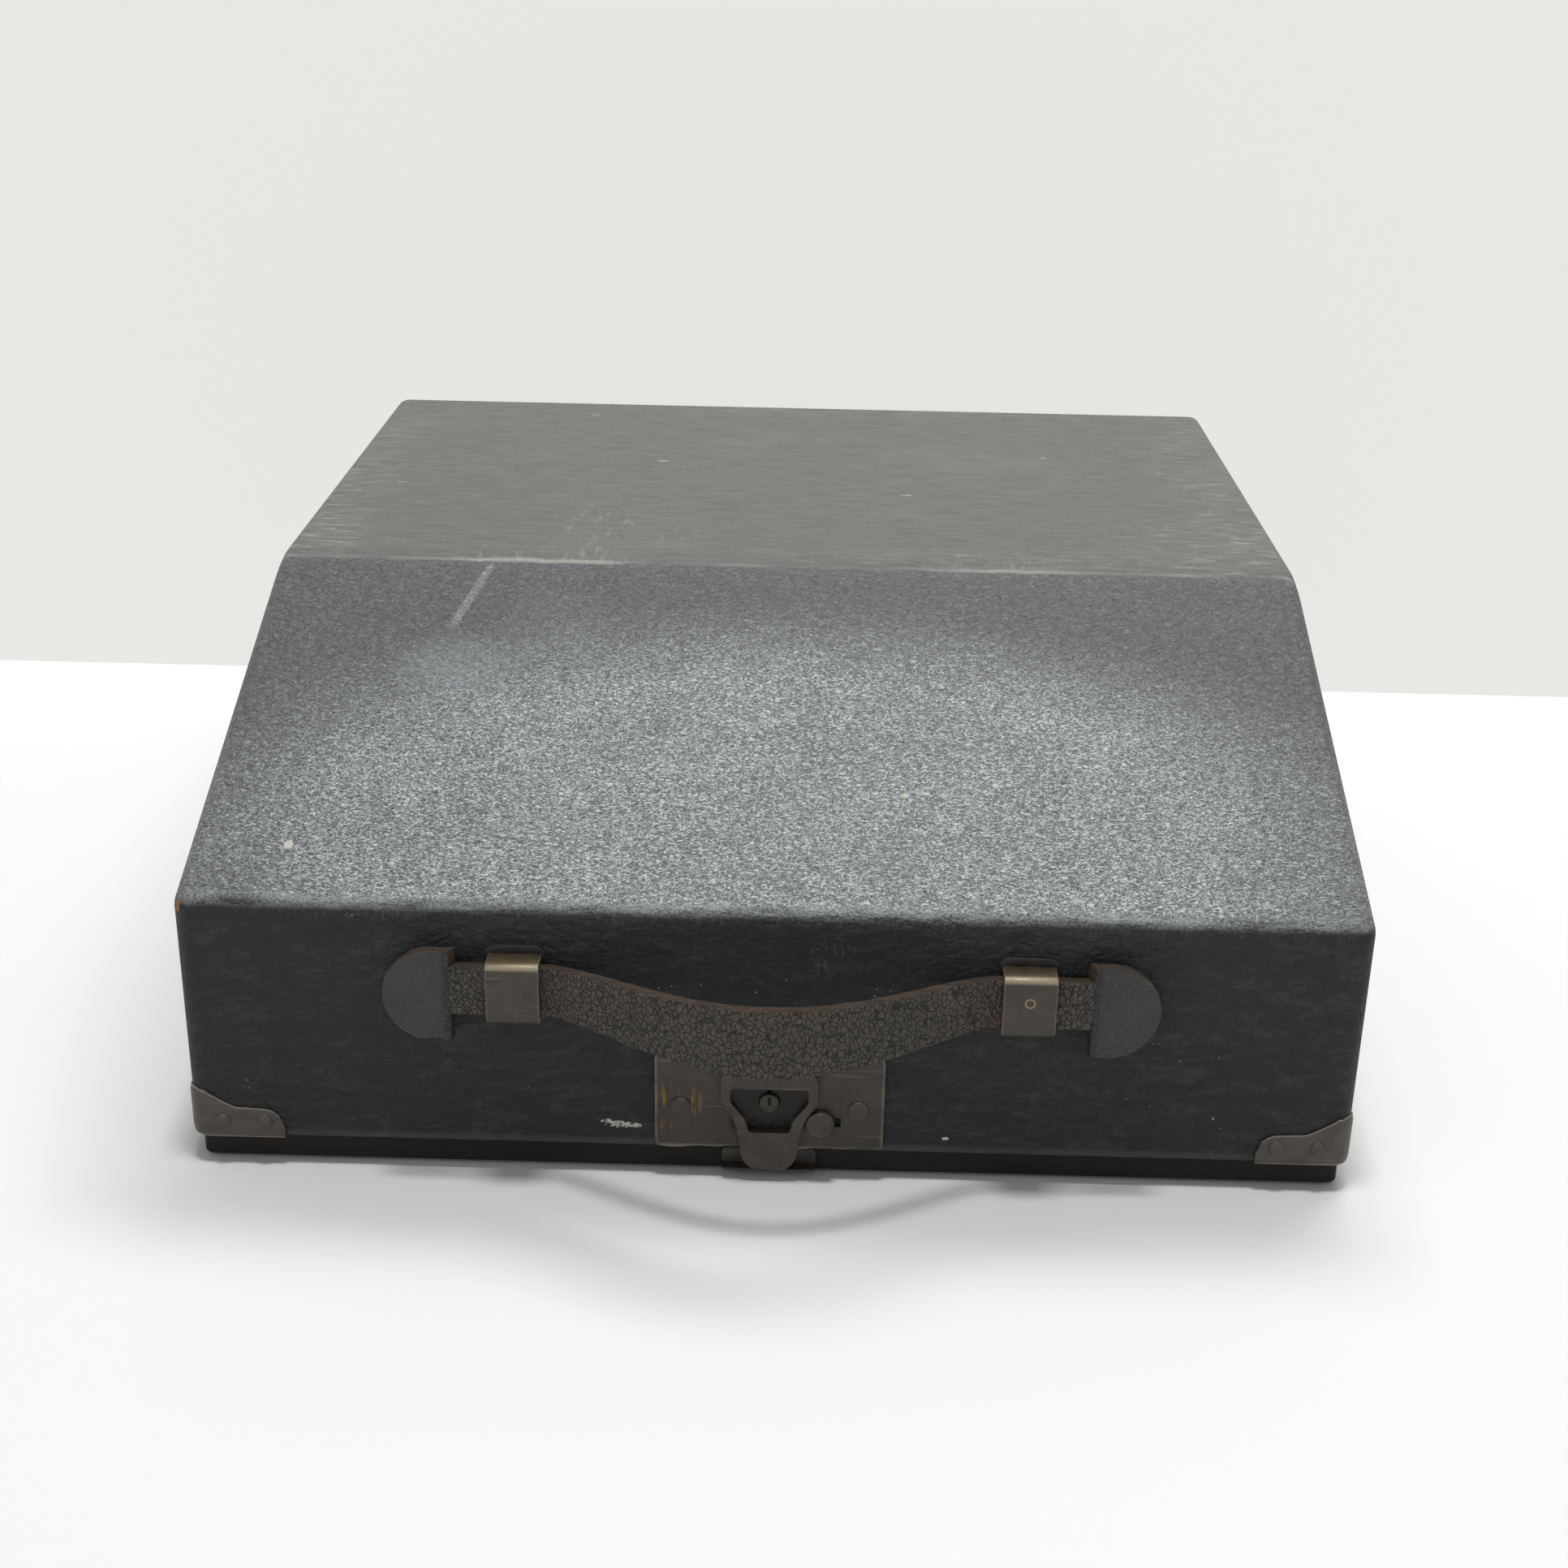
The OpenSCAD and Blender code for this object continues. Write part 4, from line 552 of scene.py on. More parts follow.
LEATHERETTE = leatherette()
LINING = lining()
FINISHES = {
    "leatherette": LEATHERETTE,
    "handle_leather": handle_leather("handle_leather", 1.0, "4b463f", "7b6650"),
    "lock_steel": old_steel("lock_steel", "37332f", "4a453f", "5c4a32", more=lock_wear),
    "plate_steel": old_steel("plate_steel", "423d39", "5b544e", "54483b", more=rim_wear),
    "hinge_steel": old_steel("hinge_steel", "4a4641", "625c53", "6d4a2c"),
    "board_wood": stained_board(),
    "rim_wood": bare_wood(),
    "foot_rubber": rubber("foot_rubber", "131313", "2b2a28", 0.6),
    "machine_enamel": enamel(),
    "lever_steel": bright_metal("lever_steel", "8b8984", "66625b", 0.36),
    "nickel": bright_metal("nickel", "b9b6ae", "8d887d", 0.2),
    "key_black": black_key(),
    "platen_rubber": rubber("platen_rubber", "171718", "262627", 0.45),
    "ribbon_cloth": woven("ribbon_cloth", "0b0b10", "1a1a22", 9),
    "felt": woven("felt", "4b1512", "7a2d27", 3),
    "brass": bright_metal("brass", "b39a5d", "7d6a3f", 0.3, (1, 1, 1)),
}
END_LEATHER = handle_leather("end_leather", 0.0, "2c2c2d", "94795a")
RAW_EDGE = raw_edge()
HASP_STEEL = old_steel("hasp_steel", "3b3733", "4f4a44", "5f5138")
RIVET_STEEL = old_steel("rivet_steel", "3b3833", "504b45", "5c4a32")
LOOP_STEEL = old_steel("loop_steel", "3c3833", "4b463f", "5d5038", 0.38, loop_wear)
LOOP_PLATE = old_steel("loop_plate", "242324", "3c3a3a", "4a4034", 0.4)
# Near black for the key slot: painted shade where the slot would be hollow
KEYHOLE_SHADE = rubber("keyhole", "050505", "0a0a0a", 0.8)
STRIKE_STEEL = old_steel("strike_steel", "2b2826", "4a4540", "5f5138", 0.38)


# Shaping helpers
def shown(name, mesh, finishes):
    """A bmesh becomes a named thing in the scene."""
    data = bpy.data.meshes.new(name)
    mesh.to_mesh(data)
    mesh.free()
    for finish in finishes:
        data.materials.append(finish)
    thing = bpy.data.objects.new(name, data)
    bpy.context.collection.objects.link(thing)
    return thing


def piece(name, mesh, finishes, body, replaced, smooth=35):
    """A finished bmesh becomes a piece of the part that rides on a body."""
    bmesh.ops.remove_doubles(mesh, verts=mesh.verts, dist=1e-6)
    bmesh.ops.recalc_face_normals(mesh, faces=mesh.faces)
    thing = shown(name, mesh, finishes)
    thing.data.shade_smooth()
    thing.data.set_sharp_from_angle(angle=math.radians(smooth))
    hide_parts(*replaced)
    if body:
        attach(thing, body)
    return thing


def round_off(mesh, edges, radius, steps=4):
    return bmesh.ops.bevel(mesh, geom=list(edges), offset=radius, offset_type="OFFSET", segments=steps,
                           profile=0.5, affect="EDGES", clamp_overlap=True, material=-1)


def place(x, y, z):
    """A point given from the middle of the hood's lower front edge, in millimetres."""
    return Vector((x, y + FRONT, z + BOTTOM)) * MM


def outwards(mesh, way):
    """Turn the faces of an open skin so that most of them look a given way."""
    bmesh.ops.recalc_face_normals(mesh, faces=mesh.faces)
    if sum(f.normal.dot(way) for f in mesh.faces) < 0:
        bmesh.ops.reverse_faces(mesh, faces=mesh.faces)


# The hood: a wedge-fronted box with rounded edges, thin walls and a papered inside
def hood_cover():
    wall = 7.5
    low, high = place(0, 0, 1).z, place(0, 0, 60).z
    mesh = bmesh.new()
    bmesh.ops.create_cube(mesh, size=1)
    for v in mesh.verts:
        back = v.co.y > 0
        v.co = place(math.copysign(WIDE, v.co.x), DEEP if back else 0,
                     0 if v.co.z < 0 else (TOP if back else FRONT_TOP))
    cut = bmesh.ops.bisect_plane(mesh, geom=mesh.verts[:] + mesh.edges[:] + mesh.faces[:],
                                 plane_co=place(0, RIDGE, 0), plane_no=(0, 1, 0))
    for v in [g for g in cut["geom_cut"] if isinstance(g, bmesh.types.BMVert)]:
        if v.co.z > high:
            v.co.z = place(0, 0, TOP).z
    open_side = [f for f in mesh.faces if all(v.co.z < low for v in f.verts)]
    bmesh.ops.delete(mesh, geom=open_side, context="FACES")
    outwards(mesh, Vector((0, 0, 1)))
    bmesh.ops.solidify(mesh, geom=mesh.faces[:], thickness=wall * MM)
    bmesh.ops.recalc_face_normals(mesh, faces=mesh.faces)

    def outer_edges(sharpest, bluntest):
        """Edges of the outer skin above the rim whose faces meet at an angle between two limits."""
        return [e for e in mesh.edges if all(abs(v.co.x) > (WIDE - 0.1) * MM for v in e.verts)
                and any(v.co.z > low for v in e.verts) and sharpest > e.calc_face_angle(0) > bluntest]

    round_off(mesh, outer_edges(0.6, 0.2), 9 * MM, 4)
    round_off(mesh, outer_edges(3.2, 0.6), 4.6 * MM, 6)
    middle, skin = place(0, DEEP / 2, 0), wall - 2

    def on_foot(v):
        """Whether a corner lies on the outer part of the open lower edge."""
        past_side = abs(v.co.x) > (WIDE - skin) * MM
        past_end = abs(v.co.y - middle.y) > (DEEP / 2 - skin) * MM
        return v.co.z < low and (past_side or past_end)

    foot = [e for e in mesh.edges if all(on_foot(v) for v in e.verts) and e.calc_face_angle(0) > 0.6]
    round_off(mesh, foot, 1.6 * MM, 3)
    for f in mesh.faces:
        f.material_index = int(all(abs(v.co.x) < (WIDE - wall + 1) * MM for v in f.verts))
    return piece("hood_cover", mesh, [LEATHERETTE, LINING], "hood", ["hood_shell"], 18)


def outlined(outlines, front, back):
    """A flat plate between two depths, from its outline and the outlines of its windows, all as (x, z)."""
    mesh = bmesh.new()
    for points in outlines:
        corners = [mesh.verts.new(place(x, front, z)) for x, z in points]
        for a, b in zip(corners, corners[1:] + corners[:1]):
            mesh.edges.new((a, b))
    bmesh.ops.triangle_fill(mesh, use_beauty=True, use_dissolve=False, edges=mesh.edges[:],
                            normal=(0, -1, 0))
    pushed = bmesh.ops.extrude_face_region(mesh, geom=mesh.faces[:])["geom"]
    bmesh.ops.translate(mesh, vec=Vector((0, (back - front) * MM, 0)),
                        verts=[g for g in pushed if isinstance(g, bmesh.types.BMVert)])
    bmesh.ops.recalc_face_normals(mesh, faces=mesh.faces)
    return mesh


def sharp_edges(mesh, least=0.7, only=lambda e: True):
    return [e for e in mesh.edges if len(e.link_faces) == 2 and e.calc_face_angle(0) > least and only(e)]


def front_edges(mesh, depth):
    """The sharp edges that lie on the plane y = depth, measured from the hood's front."""
    at = place(0, depth, 0).y
    return sharp_edges(mesh, only=lambda e: all(abs(v.co.y - at) < 2e-5 for v in e.verts))


def turned(profile, at, axis, steps=24):
    """A round piece: (radius, height) pairs spun about an axis that starts at a point."""
    mesh = bmesh.new()
    last = None
    for radius, height in profile:
        v = mesh.verts.new(Vector((radius, 0, height)) * MM)
        if last:
            mesh.edges.new((last, v))
        last = v
    bmesh.ops.spin(mesh, geom=mesh.verts[:] + mesh.edges[:], cent=(0, 0, 0), axis=(0, 0, 1),
                   angle=math.tau, steps=steps, use_merge=True)
    bmesh.ops.remove_doubles(mesh, verts=mesh.verts, dist=1e-6)
    turn = Vector((0, 0, 1)).rotation_difference(Vector(axis)).to_matrix().to_4x4()
    mesh.transform(Matrix.Translation(at) @ turn)
    bmesh.ops.recalc_face_normals(mesh, faces=mesh.faces)
    return mesh


def joined(meshes):
    """Several bmeshes made into one."""
    whole = bmesh.new()
    for mesh in meshes:
        data = bpy.data.meshes.new("part")
        mesh.to_mesh(data)
        mesh.free()
        whole.from_mesh(data)
        bpy.data.meshes.remove(data)
    return whole


def rounded(width, low, high, radius, steps=5):
    """The outline of a plate with round corners, centred on the middle."""
    points = []
    for cx, cz, start in ((1, 1, 0), (-1, 1, 90), (-1, -1, 180), (1, -1, 270)):
        x, z = cx * (width / 2 - radius), (high if cz > 0 else low) - cz * radius
        points += [(x + radius * math.cos(math.radians(start + 90 * i / steps)),
                    z + radius * math.sin(math.radians(start + 90 * i / steps))) for i in range(steps + 1)]
    return points


def smooth(share):
    share = max(0.0, min(1.0, share))
    return share * share * (3 - 2 * share)


# The strap, as a left and a right half: flat grip, neck in the loop, and a half-moon end
def strap_middle(x):
    """Depth, height and half width of the strap at a distance from the middle."""
    grip_end, long, high, neck, bulge = 59.15, 18.15, 27, 7.1, 23.25
    if x <= grip_end:
        share = x / grip_end
        swell = ((1 + math.cos(math.pi * share)) / 2) ** 0.62
        return STRAP_DEEP - bulge * swell, LOOP_UP - 1.2 * swell, neck + 2.9 * (1 - share ** 1.3)
    if x < MOON_AT:
        return STRAP_DEEP, LOOP_UP, neck
    curve = max(0.0, x - (MOON_AT + long - high / 2)) / (high / 2)
    return STRAP_DEEP, LOOP_UP - 2, high / 2 * math.sqrt(max(0.006, 1 - curve * curve))


def strap_half(name, side, nodes):
    bulging, tip = 90.2, 103.6
    along = [1.5 * i for i in range(41)] + [63 + 3 * i for i in range(7)]
    along += [MOON_AT - 0.03, MOON_AT + 0.03] + [MOON_AT + 0.8 + 0.75 * i for i in range(6)]
    along += [bulging + (tip - bulging) * math.sin(math.pi / 2 * i / 14) for i in range(1, 15)]
    count, across = len(along) - 1, 16
    mesh = bmesh.new()
    bmesh.ops.create_grid(mesh, x_segments=count, y_segments=across, size=1)
    chance = random.Random(11 + side)
    nick = [chance.uniform(-0.12, 0.12) for _ in range(2 * count + 4)]
    for v in mesh.verts:
        i = round((v.co.x + 1) / 2 * count)
        share = v.co.y
        x = along[i]
        y, z, half = strap_middle(x)
        if abs(share) > 0.99:
            half += nick[2 * i + (share > 0)]
        if side < 0 and share < -0.8 and MOON_AT + 1 < x < MOON_AT + 8:
            half -= 1.1 * math.sin((x - MOON_AT - 1) / 7 * math.pi)
        curl = 0
        if x < 60:
            curl = 0.5 * share * share
        elif x > MOON_AT:
            curl = 0.9 * max(0, x - 92) / 12 + 0.25 * share * share
        v.co = place(side * x, y - 0.1 + curl * 0.6, z + half * share)
    outwards(mesh, Vector((0, -1, 0)))
    bmesh.ops.solidify(mesh, geom=mesh.faces[:], thickness=2.9 * MM)
    depths = [v.co.y for v in mesh.verts if abs(v.co.x) > 86 * MM]
    middle = sum(depths) / len(depths)
    bmesh.ops.translate(mesh, verts=mesh.verts, vec=(0, place(0, STRAP_DEEP, 0).y - middle, 0))
    bmesh.ops.recalc_face_normals(mesh, faces=mesh.faces)
    rims = sharp_edges(mesh, 0.9, lambda e: min(abs(v.co.x) for v in e.verts) > 1e-5)
    round_off(mesh, rims, 0.55 * MM, 2)
    worn = mesh.verts.layers.float.new("worn")
    for v in mesh.verts:
        x = abs(v.co.x) / MM
        y, z, half = strap_middle(x)
        share = abs(v.co.z / MM - BOTTOM - z) / half
        tip_share = (x - 95) / 9 if x > MOON_AT else 0
        v[worn] = max(smooth((share - 0.86) / 0.14), smooth(tip_share) * 0.8)
    for f in mesh.faces:
        x = abs(f.calc_center_median().x) / MM
        f.material_index = 2 if abs(f.normal.y) < 0.45 else (1 if x > MOON_AT - 0.1 else 0)
    finishes = [FINISHES["handle_leather"], END_LEATHER, RAW_EDGE]
    strap = piece(name, mesh, finishes, None, nodes, 50)
    place(side * 22, -10, 50)
    place(side * 60, -10, 50)
    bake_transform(strap)


# The lock: plate with its wavy lower edge, hasp, rivets, key barrel, button
def eased(points, radius, steps=4):
    """An outline with its corners rounded."""
    result = []
    for before, corner, after in zip(points[-1:] + points[:-1], points, points[1:] + points[:1]):
        a, c, b = Vector(before), Vector(corner), Vector(after)
        cut = min(radius, (a - c).length * 0.45, (b - c).length * 0.45)
        start, end = c + (a - c).normalized() * cut, c + (b - c).normalized() * cut
        for i in range(steps + 1):
            t = i / steps
            result.append(tuple(start * (1 - t) ** 2 + c * 2 * t * (1 - t) + end * t ** 2))
    return result


def lock_plate_outline():
    wide, low, high = 31.4, 1.0, 32.0
    points = [(-wide, low + 1.7)]
    for i in range(60):
        x = -wide + 0.9 + (2 * wide - 1.8) * i / 59
        wave = 0.62 + 0.5 * math.sin(x * 0.11 - 1.5) * (-1 if x < 0 else 0.6) + 0.22 * math.sin(x * 0.55)
        points.append((x, low + max(0.02, wave)))
    points += [(wide, low + 1.2)]
    return points + [(wide, high - 3), (wide - 0.9, high - 0.9), (wide - 3, high),
                     (-wide + 3, high), (-wide + 0.9, high - 0.9), (-wide, high - 3)]


def lock_pieces():
    hasp_z, hasp_y, knuckle, axle = 27.5, -2.3, 1.7, 0.9
    face, keyhole_z = -1.2, 16.1
    window = [(-3.5, 25.3), (3.5, 25.3), (3.5, 29.7), (-3.5, 29.7)]
    slot = [(12.6, 8.5), (19.6, 8.5), (19.6, 11.5), (12.6, 11.5)]
    catch = eased([(-5.9, 7.3), (5.9, 7.3), (5.9, 10.8), (-5.9, 10.8)], 0.6)
    keyhole = [(2.9 * math.sin(math.radians(a)), keyhole_z + 2.9 * math.cos(math.radians(a)))
               for a in range(12, 349, 14)]
    keyhole += [(-0.6, 20.4), (0.6, 20.4)]
    mesh = outlined([lock_plate_outline(), window, keyhole, slot, catch], face, 0)
    round_off(mesh, front_edges(mesh, face), 0.32 * MM, 2)
    ears = []
    for side in (-1, 1):
        ears.append(turned([(axle, 0), (knuckle, 0.15), (knuckle, 5.85), (axle, 6), (axle, 0)],
                           place(side * 3.5, hasp_y, hasp_z), (side, 0, 0), 16))
        ear = [(side * 3.55, hasp_z - knuckle), (side * 9.45, hasp_z - knuckle),
               (side * 9.45, hasp_z + knuckle), (side * 3.55, hasp_z + knuckle)]
        ears.append(outlined([ear], hasp_y + 0.3, -0.9))
    piece("lock_plate_cover", joined([mesh] + ears), [FINISHES["lock_steel"]], "hood", ["lock_plate"])

    half, waist, tab = 13.3, 9.4, 7.9
    right = [(tab, 3.2), (waist - 0.4, 9.0), (waist + 0.5, 11.4), (half, 16.8), (half, 25.4)]
    bowl = [(6.2, -3.2), (7.7, -0.4)]
    outline = [(-x, z) for x, z in reversed(right)] + [(-x, z) for x, z in reversed(bowl)]
    outline += [(-4.4, -4.5), (4.4, -4.5)] + bowl + right
    inner = [(10.7, 20.9), (10.7, 16.5), (6.6, 11.3), (5.6, 7.2)]
    inner = [(-x, z) for x, z in inner] + inner[::-1]
    front, back = hasp_y - 0.6, hasp_y + 0.6
    blade = outlined([eased(outline, 2.2), eased(inner, 1.1)], front, back)
    round_off(blade, front_edges(blade, front), 0.34 * MM, 3)
    roll = turned([(0, -3), (knuckle, -3), (knuckle, 3), (0, 3)], place(0, hasp_y, hasp_z), (1, 0, 0), 18)
    pin = turned([(0, -9), (0.7, -9), (0.7, 9), (0, 9)], place(0, hasp_y, hasp_z), (1, 0, 0), 12)
    tongue = outlined([[(-2.95, 24.9), (2.95, 24.9), (2.95, 27.4), (-2.95, 27.4)]], front, back)
    piece("hasp_cover", joined([blade, roll, pin, tongue]), [HASP_STEEL], "hasp", ["hasp"], 40)

    heads = []
    for side in (-1, 1):
        head = [(0, 0), (2.9, 0.0), (2.9, 0.35), (2.72, 0.6), (2.4, 0.68), (1.2, 0.7), (0.0, 0.7)]
        heads.append(turned(head, place(side * 24.4, face, 14), (0, -1, 0), 28))
    piece("lock_rivet_heads", joined(heads), [RIVET_STEEL], "hood", ["lock_rivets"], 40)

    knob = [(0, 0), (1.2, 0), (1.2, 1.3), (3.7, 1.35), (3.9, 1.6), (3.9, 2.9), (3.6, 3.3), (3.3, 3.3),
            (3.1, 3.1), (1.2, 3.05), (0, 3.05)]
    button = turned(knob, place(14.1, 0, 10), (0, -1, 0), 32)
    piece("button_cover", button, [RIVET_STEEL], "lock_button", ["lock_button"], 30)

    barrel = turned([(0, 0), (2.7, 0), (2.7, 1.75), (2.5, 2.0), (2.1, 2.0), (1.95, 1.8), (0, 1.8)],
                    place(0, 0, keyhole_z), (0, -1, 0), 32)
    # The key slot is a thin near-black sheet on the barrel's face, painted shade in place of a hollow slot
    keyhole_shade_sheet = outlined([[(-0.42, 15.2), (0.42, 15.2), (0.42, 17.95), (-0.42, 17.95)]], -1.83, -1.7)
    for f in keyhole_shade_sheet.faces:
        f.material_index = 1
    piece("barrel_cover", joined([barrel, keyhole_shade_sheet]), [RIVET_STEEL, KEYHOLE_SHADE], "lock_barrel", ["lock_barrel"],
          30)


# Bent loops that the strap runs through, and the thin plates behind them
def loops():
    out, back, metal, tall, wide, bend = 8.6, 1.0, 1.4, 17.8, 14.3, 2.2
    plate_wide, plate_tall = 15.9, 22.3
    low, high = LOOP_UP - tall / 2, LOOP_UP + tall / 2
    turn = [(bend * math.sin(math.pi / 2 * i / 6), bend * math.cos(math.pi / 2 * i / 6)) for i in range(7)]
    ring = [(-back, low)] + [(bend - out - s, low + bend - c) for s, c in turn]
    ring += [(bend - out - c, high - bend + s) for s, c in turn] + [(-back, high)]
    for side, hand in ((-1, "left"), (1, "right")):
        mesh = bmesh.new()
        bmesh.ops.create_grid(mesh, x_segments=len(ring) - 1, y_segments=1, size=1)
        for v in mesh.verts:
            y, z = ring[round((v.co.x + 1) / 2 * (len(ring) - 1))]
            v.co = place(side * LOOP_AT + v.co.y * wide / 2, y, z)
        outwards(mesh, Vector((0, -1, 0)))
        bmesh.ops.solidify(mesh, geom=mesh.faces[:], thickness=metal * MM)
        bmesh.ops.recalc_face_normals(mesh, faces=mesh.faces)
        round_off(mesh, sharp_edges(mesh), 0.35 * MM, 3)
        piece("loop_" + hand, mesh, [LOOP_STEEL], "hood", ["handle_loop_" + hand], 40)
    plates = []
    for side in (-1, 1):
        shape = rounded(plate_wide, LOOP_UP - plate_tall / 2, LOOP_UP + plate_tall / 2, 2.5)
        outline = [(side * LOOP_AT + x, z) for x, z in shape]
        plate = outlined([outline], -back, 0)
        round_off(plate, front_edges(plate, -back), 0.4 * MM, 3)
        plates.append(plate)
    piece("loop_plate_covers", joined(plates), [LOOP_PLATE], "hood", ["loop_back_plates"], 40)


# Pressed corner plates: one strip of metal bent round the corner, with a rolled lower edge
def corner_plates():
    metal, long, tall, tip, turn = 0.8, 26, 9.5, 15.2, 5
    crown, slope, end_round = 3.2, 9, 5.5

    def top_of(run):
        """Upper edge of the plate at a distance along the strip from the corner's middle."""
        far = abs(run) - crown
        if far <= 0:
            return tip - 0.4 + 0.4 * math.cos(run * 0.9)
        if far < slope:
            share = far / slope
            return tip - (tip - tall) * (share ** 0.8)
        end = max(0.0, end_round - (long - crown - far))
        drop = end_round - math.sqrt(max(0.0, end_round ** 2 - end ** 2))
        return tall - (far - slope) * 0.05 - drop

    for left, rear in ((1, 0), (0, 0), (1, 1), (0, 1)):
        name = ("rear" if rear else "front") + ("_left" if left else "_right")
        arc, flat = (turn + metal) * math.pi / 4, long - turn
        runs = [-(flat + arc) + i * flat / 14 for i in range(14)]
        runs += [-arc + 2 * arc * i / 10 for i in range(11)]
        runs += [arc + (i + 1) * flat / 14 for i in range(14)]
        mesh = bmesh.new()
        rows, last = 8, len(runs) - 1
        bmesh.ops.create_grid(mesh, x_segments=last, y_segments=rows, size=1)
        worn = mesh.verts.layers.float.new("worn")
        for v in mesh.verts:
            run = runs[round((v.co.x + 1) / 2 * last)]
            row = round((v.co.y + 1) / 2 * rows)
            angle = math.radians(45) * (1 + max(-1, min(1, run / arc)))
            out = (math.sin(angle), -math.cos(angle))
            dent = -0.25 if row == 0 else (-0.35 if row == rows else 0)
            x = WIDE - turn + (turn + metal + dent) * out[0] + min(0, run + arc)
            y = turn + (turn + metal + dent) * out[1] + max(0, run - arc)
            z = 0.12 + (top_of(run * (long / (flat + arc))) - 0.12) * row / rows
            v.co = place(-x if left else x, DEEP - y if rear else y, z)
            v[worn] = row in (0, rows)
        outwards(mesh, Vector((-1 if left else 1, 1 if rear else -1, 0)))
        bmesh.ops.solidify(mesh, geom=mesh.faces[:], thickness=0.62 * MM)
        bmesh.ops.recalc_face_normals(mesh, faces=mesh.faces)
        piece("corner_" + name, mesh, [FINISHES["plate_steel"]], "hood", ["corner_plate_" + name],
              35)
    heads, rivet_z = [], 5.32
    dome = [(0, 0), (2.2, 0.0), (2.2, 0.1), (1.95, 0.42), (1.4, 0.66), (0.7, 0.75), (0.0, 0.77)]
    for mx in (-1, 1):
        for rear in (0, 1):
            for u in (20.5, 9):
                y = DEEP + metal if rear else -metal
                way = (0, 1 if rear else -1, 0)
                heads.append(turned(dome, place(mx * (WIDE - u), y, rivet_z), way, 20))
                y = DEEP - u if rear else u
                heads.append(turned(dome, place(mx * (WIDE + metal), y, rivet_z), (mx, 0, 0), 20))
    piece("corner_rivet_heads", joined(heads), [FINISHES["plate_steel"]], "hood", ["corner_rivets"],
          60)


# The base: a stained board with softened edges, the strike on its front, and small pads under it
def base_pieces():
    inset, thick, metal, drop, half = 2, 7.5, 0.8, 5.7, 13
    mesh = bmesh.new()
    bmesh.ops.create_cube(mesh, size=1)
    for v in mesh.verts:
        v.co = place(math.copysign(WIDE - inset, v.co.x), DEEP - inset if v.co.y > 0 else inset,
                     0 if v.co.z > 0 else -thick)
    upright = [e for e in mesh.edges if abs(e.verts[0].co.z - e.verts[1].co.z) > MM]
    round_off(mesh, upright, 2.2 * MM, 4)
    low = place(0, 0, -thick).z
    under = sharp_edges(mesh, only=lambda e: all(abs(v.co.z - low) < 1e-6 for v in e.verts))
    round_off(mesh, under, 1.1 * MM, 3)
    piece("board_cover", mesh, [FINISHES["board_wood"]], "base", ["base_board"])

    outline = [(-half, -0.3), (-half, -drop), (half, -drop), (half, -0.3)]
    plate = outlined([eased(outline, 1.2)], inset - metal, inset)
    lip = bmesh.new()
    bmesh.ops.create_cube(lip, size=1)
    for v in lip.verts:
        low_side = -drop if v.co.z < 0 else -drop + metal
        v.co = place(math.copysign(half, v.co.x), -2 if v.co.y < 0 else inset, low_side)
    corners = [e for e in lip.edges if abs(e.verts[0].co.z - e.verts[1].co.z) > 0.1 * MM
               and e.verts[0].co.y < place(0, 0, 0).y]
    round_off(lip, corners, 1.4 * MM, 4)
    outside = place(0, 1, 0).y
    round_off(lip, sharp_edges(lip, only=lambda e: all(v.co.y < outside for v in e.verts)), 0.2 * MM, 2)
    piece("strike_cover", joined([plate, lip]), [STRIKE_STEEL], "base", ["strike_plate"])


# Every solid that is shown as it is takes its finish
def dress():
    for part in frame["record"]["subparts"]:
        node = frame["nodes"][part["node"]]
        finish = FINISHES[part["material_slot"]]
        for seat in node.material_slots:
            seat.material = finish


dress()
hood_cover()
strap_half("strap_half_left", -1, ["handle_grip", "strap_end_left"])
strap_half("strap_half_right", 1, ["strap_end_right"])
lock_pieces()
loops()
corner_plates()
base_pieces()


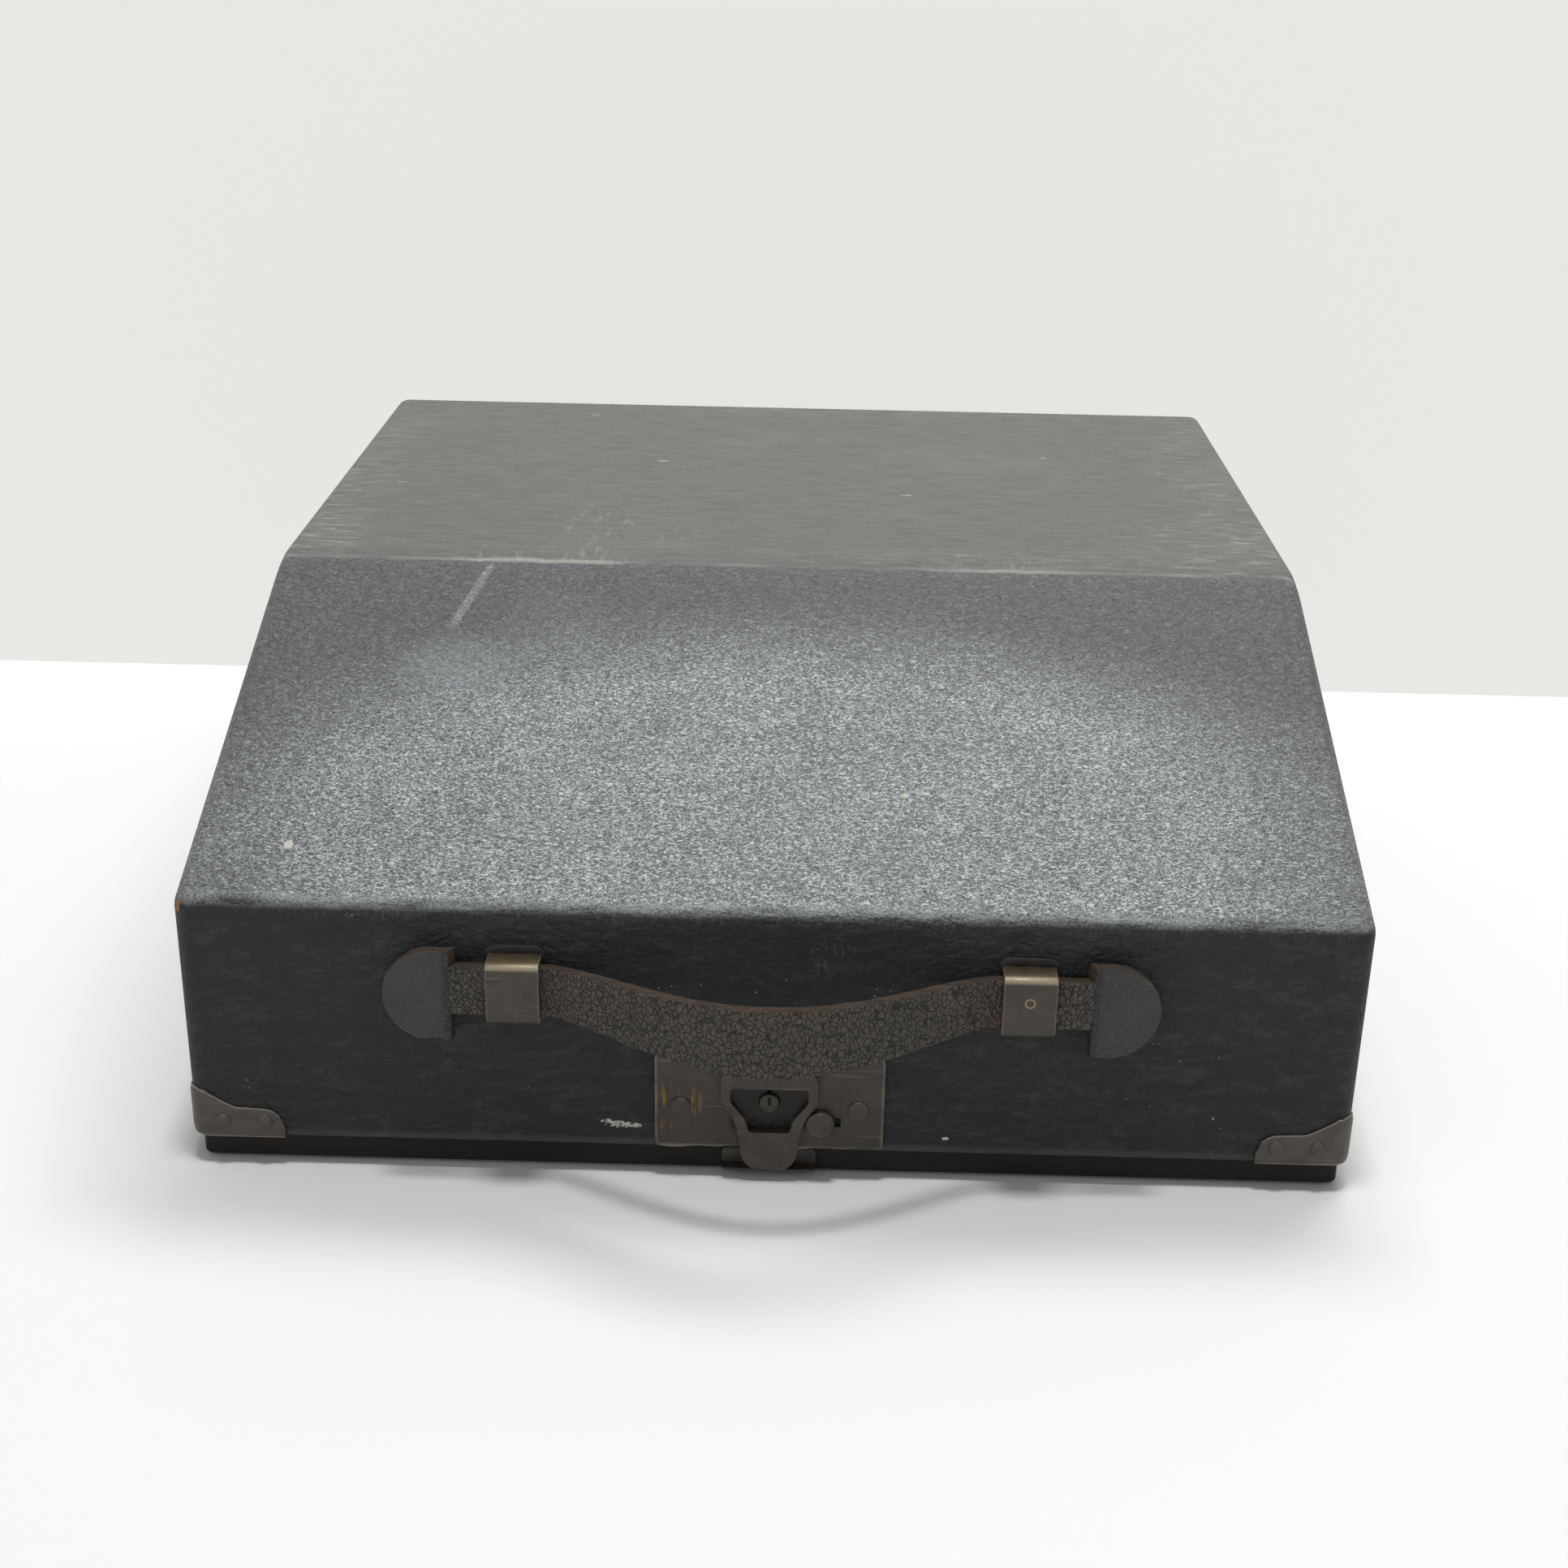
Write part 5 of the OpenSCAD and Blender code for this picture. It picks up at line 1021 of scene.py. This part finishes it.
# A pale table, a pale wall behind it, and soft light from above
def studio():
    ground = plain_ground("table", "f2f2f1", 0.0)
    wall = plain_ground("wall", "ebeae7", 0.92, one_sided=True)
    sheets = (("table", ground, -2.4, 2.4, 0), ("wall", wall, 0.232, 0.232, 0.42))
    for name, finish, near, far, height in sheets:
        mesh = bmesh.new()
        corners = [(-2.4, near, 0), (2.4, near, 0), (2.4, far, height), (-2.4, far, height)]
        mesh.faces.new([mesh.verts.new(c) for c in corners])
        mesh.normal_update()
        thing = shown(name, mesh, [finish])


def lamp(name, at, aim, size, watts):
    data = bpy.data.lights.new(name, "AREA")
    data.shape = "RECTANGLE"
    data.size, data.size_y = size
    data.energy = watts
    thing = bpy.data.objects.new(name, data)
    thing.location = at
    thing.rotation_euler = (Vector(aim) - Vector(at)).to_track_quat("-Z", "Y").to_euler()
    bpy.context.collection.objects.link(thing)


studio()
lamp("window", (0.25, 0.505, 1.5), (0.0, -0.1, 0.1), (0.95, 0.5), 12)
lamp("ceiling", (0.0, -0.25, 1.9), (0, -0.15, 0), (0.3, 0.22), 15)
lamp("fill", (-1.3, -1.6, 1.0), (0, 0, 0.05), (1.4, 1.0), 2.5)


# The room: even light, and the wall's own colour where the camera or a reflection looks past the wall
def room():
    world = bpy.data.worlds.new("room")
    world.use_nodes = True
    tree = world.node_tree
    light = tree.nodes["Background"]
    light.inputs["Color"].default_value = (1, 1, 1, 1)
    light.inputs["Strength"].default_value = 0.3
    shown = tree.nodes.new("ShaderNodeBackground")
    shown.inputs["Color"].default_value = (*rgb("ebeae7"), 1)
    path = tree.nodes.new("ShaderNodeLightPath")
    either = tree.nodes.new("ShaderNodeMath")
    either.operation = "MAXIMUM"
    both = tree.nodes.new("ShaderNodeMixShader")
    tree.links.new(path.outputs["Is Camera Ray"], either.inputs[0])
    tree.links.new(path.outputs["Is Glossy Ray"], either.inputs[1])
    tree.links.new(either.outputs[0], both.inputs[0])
    tree.links.new(light.outputs[0], both.inputs[1])
    tree.links.new(shown.outputs[0], both.inputs[2])
    tree.links.new(both.outputs[0], tree.nodes["World Output"].inputs[0])
    bpy.context.scene.world = world


room()
bpy.context.scene.view_settings.view_transform = "Standard"
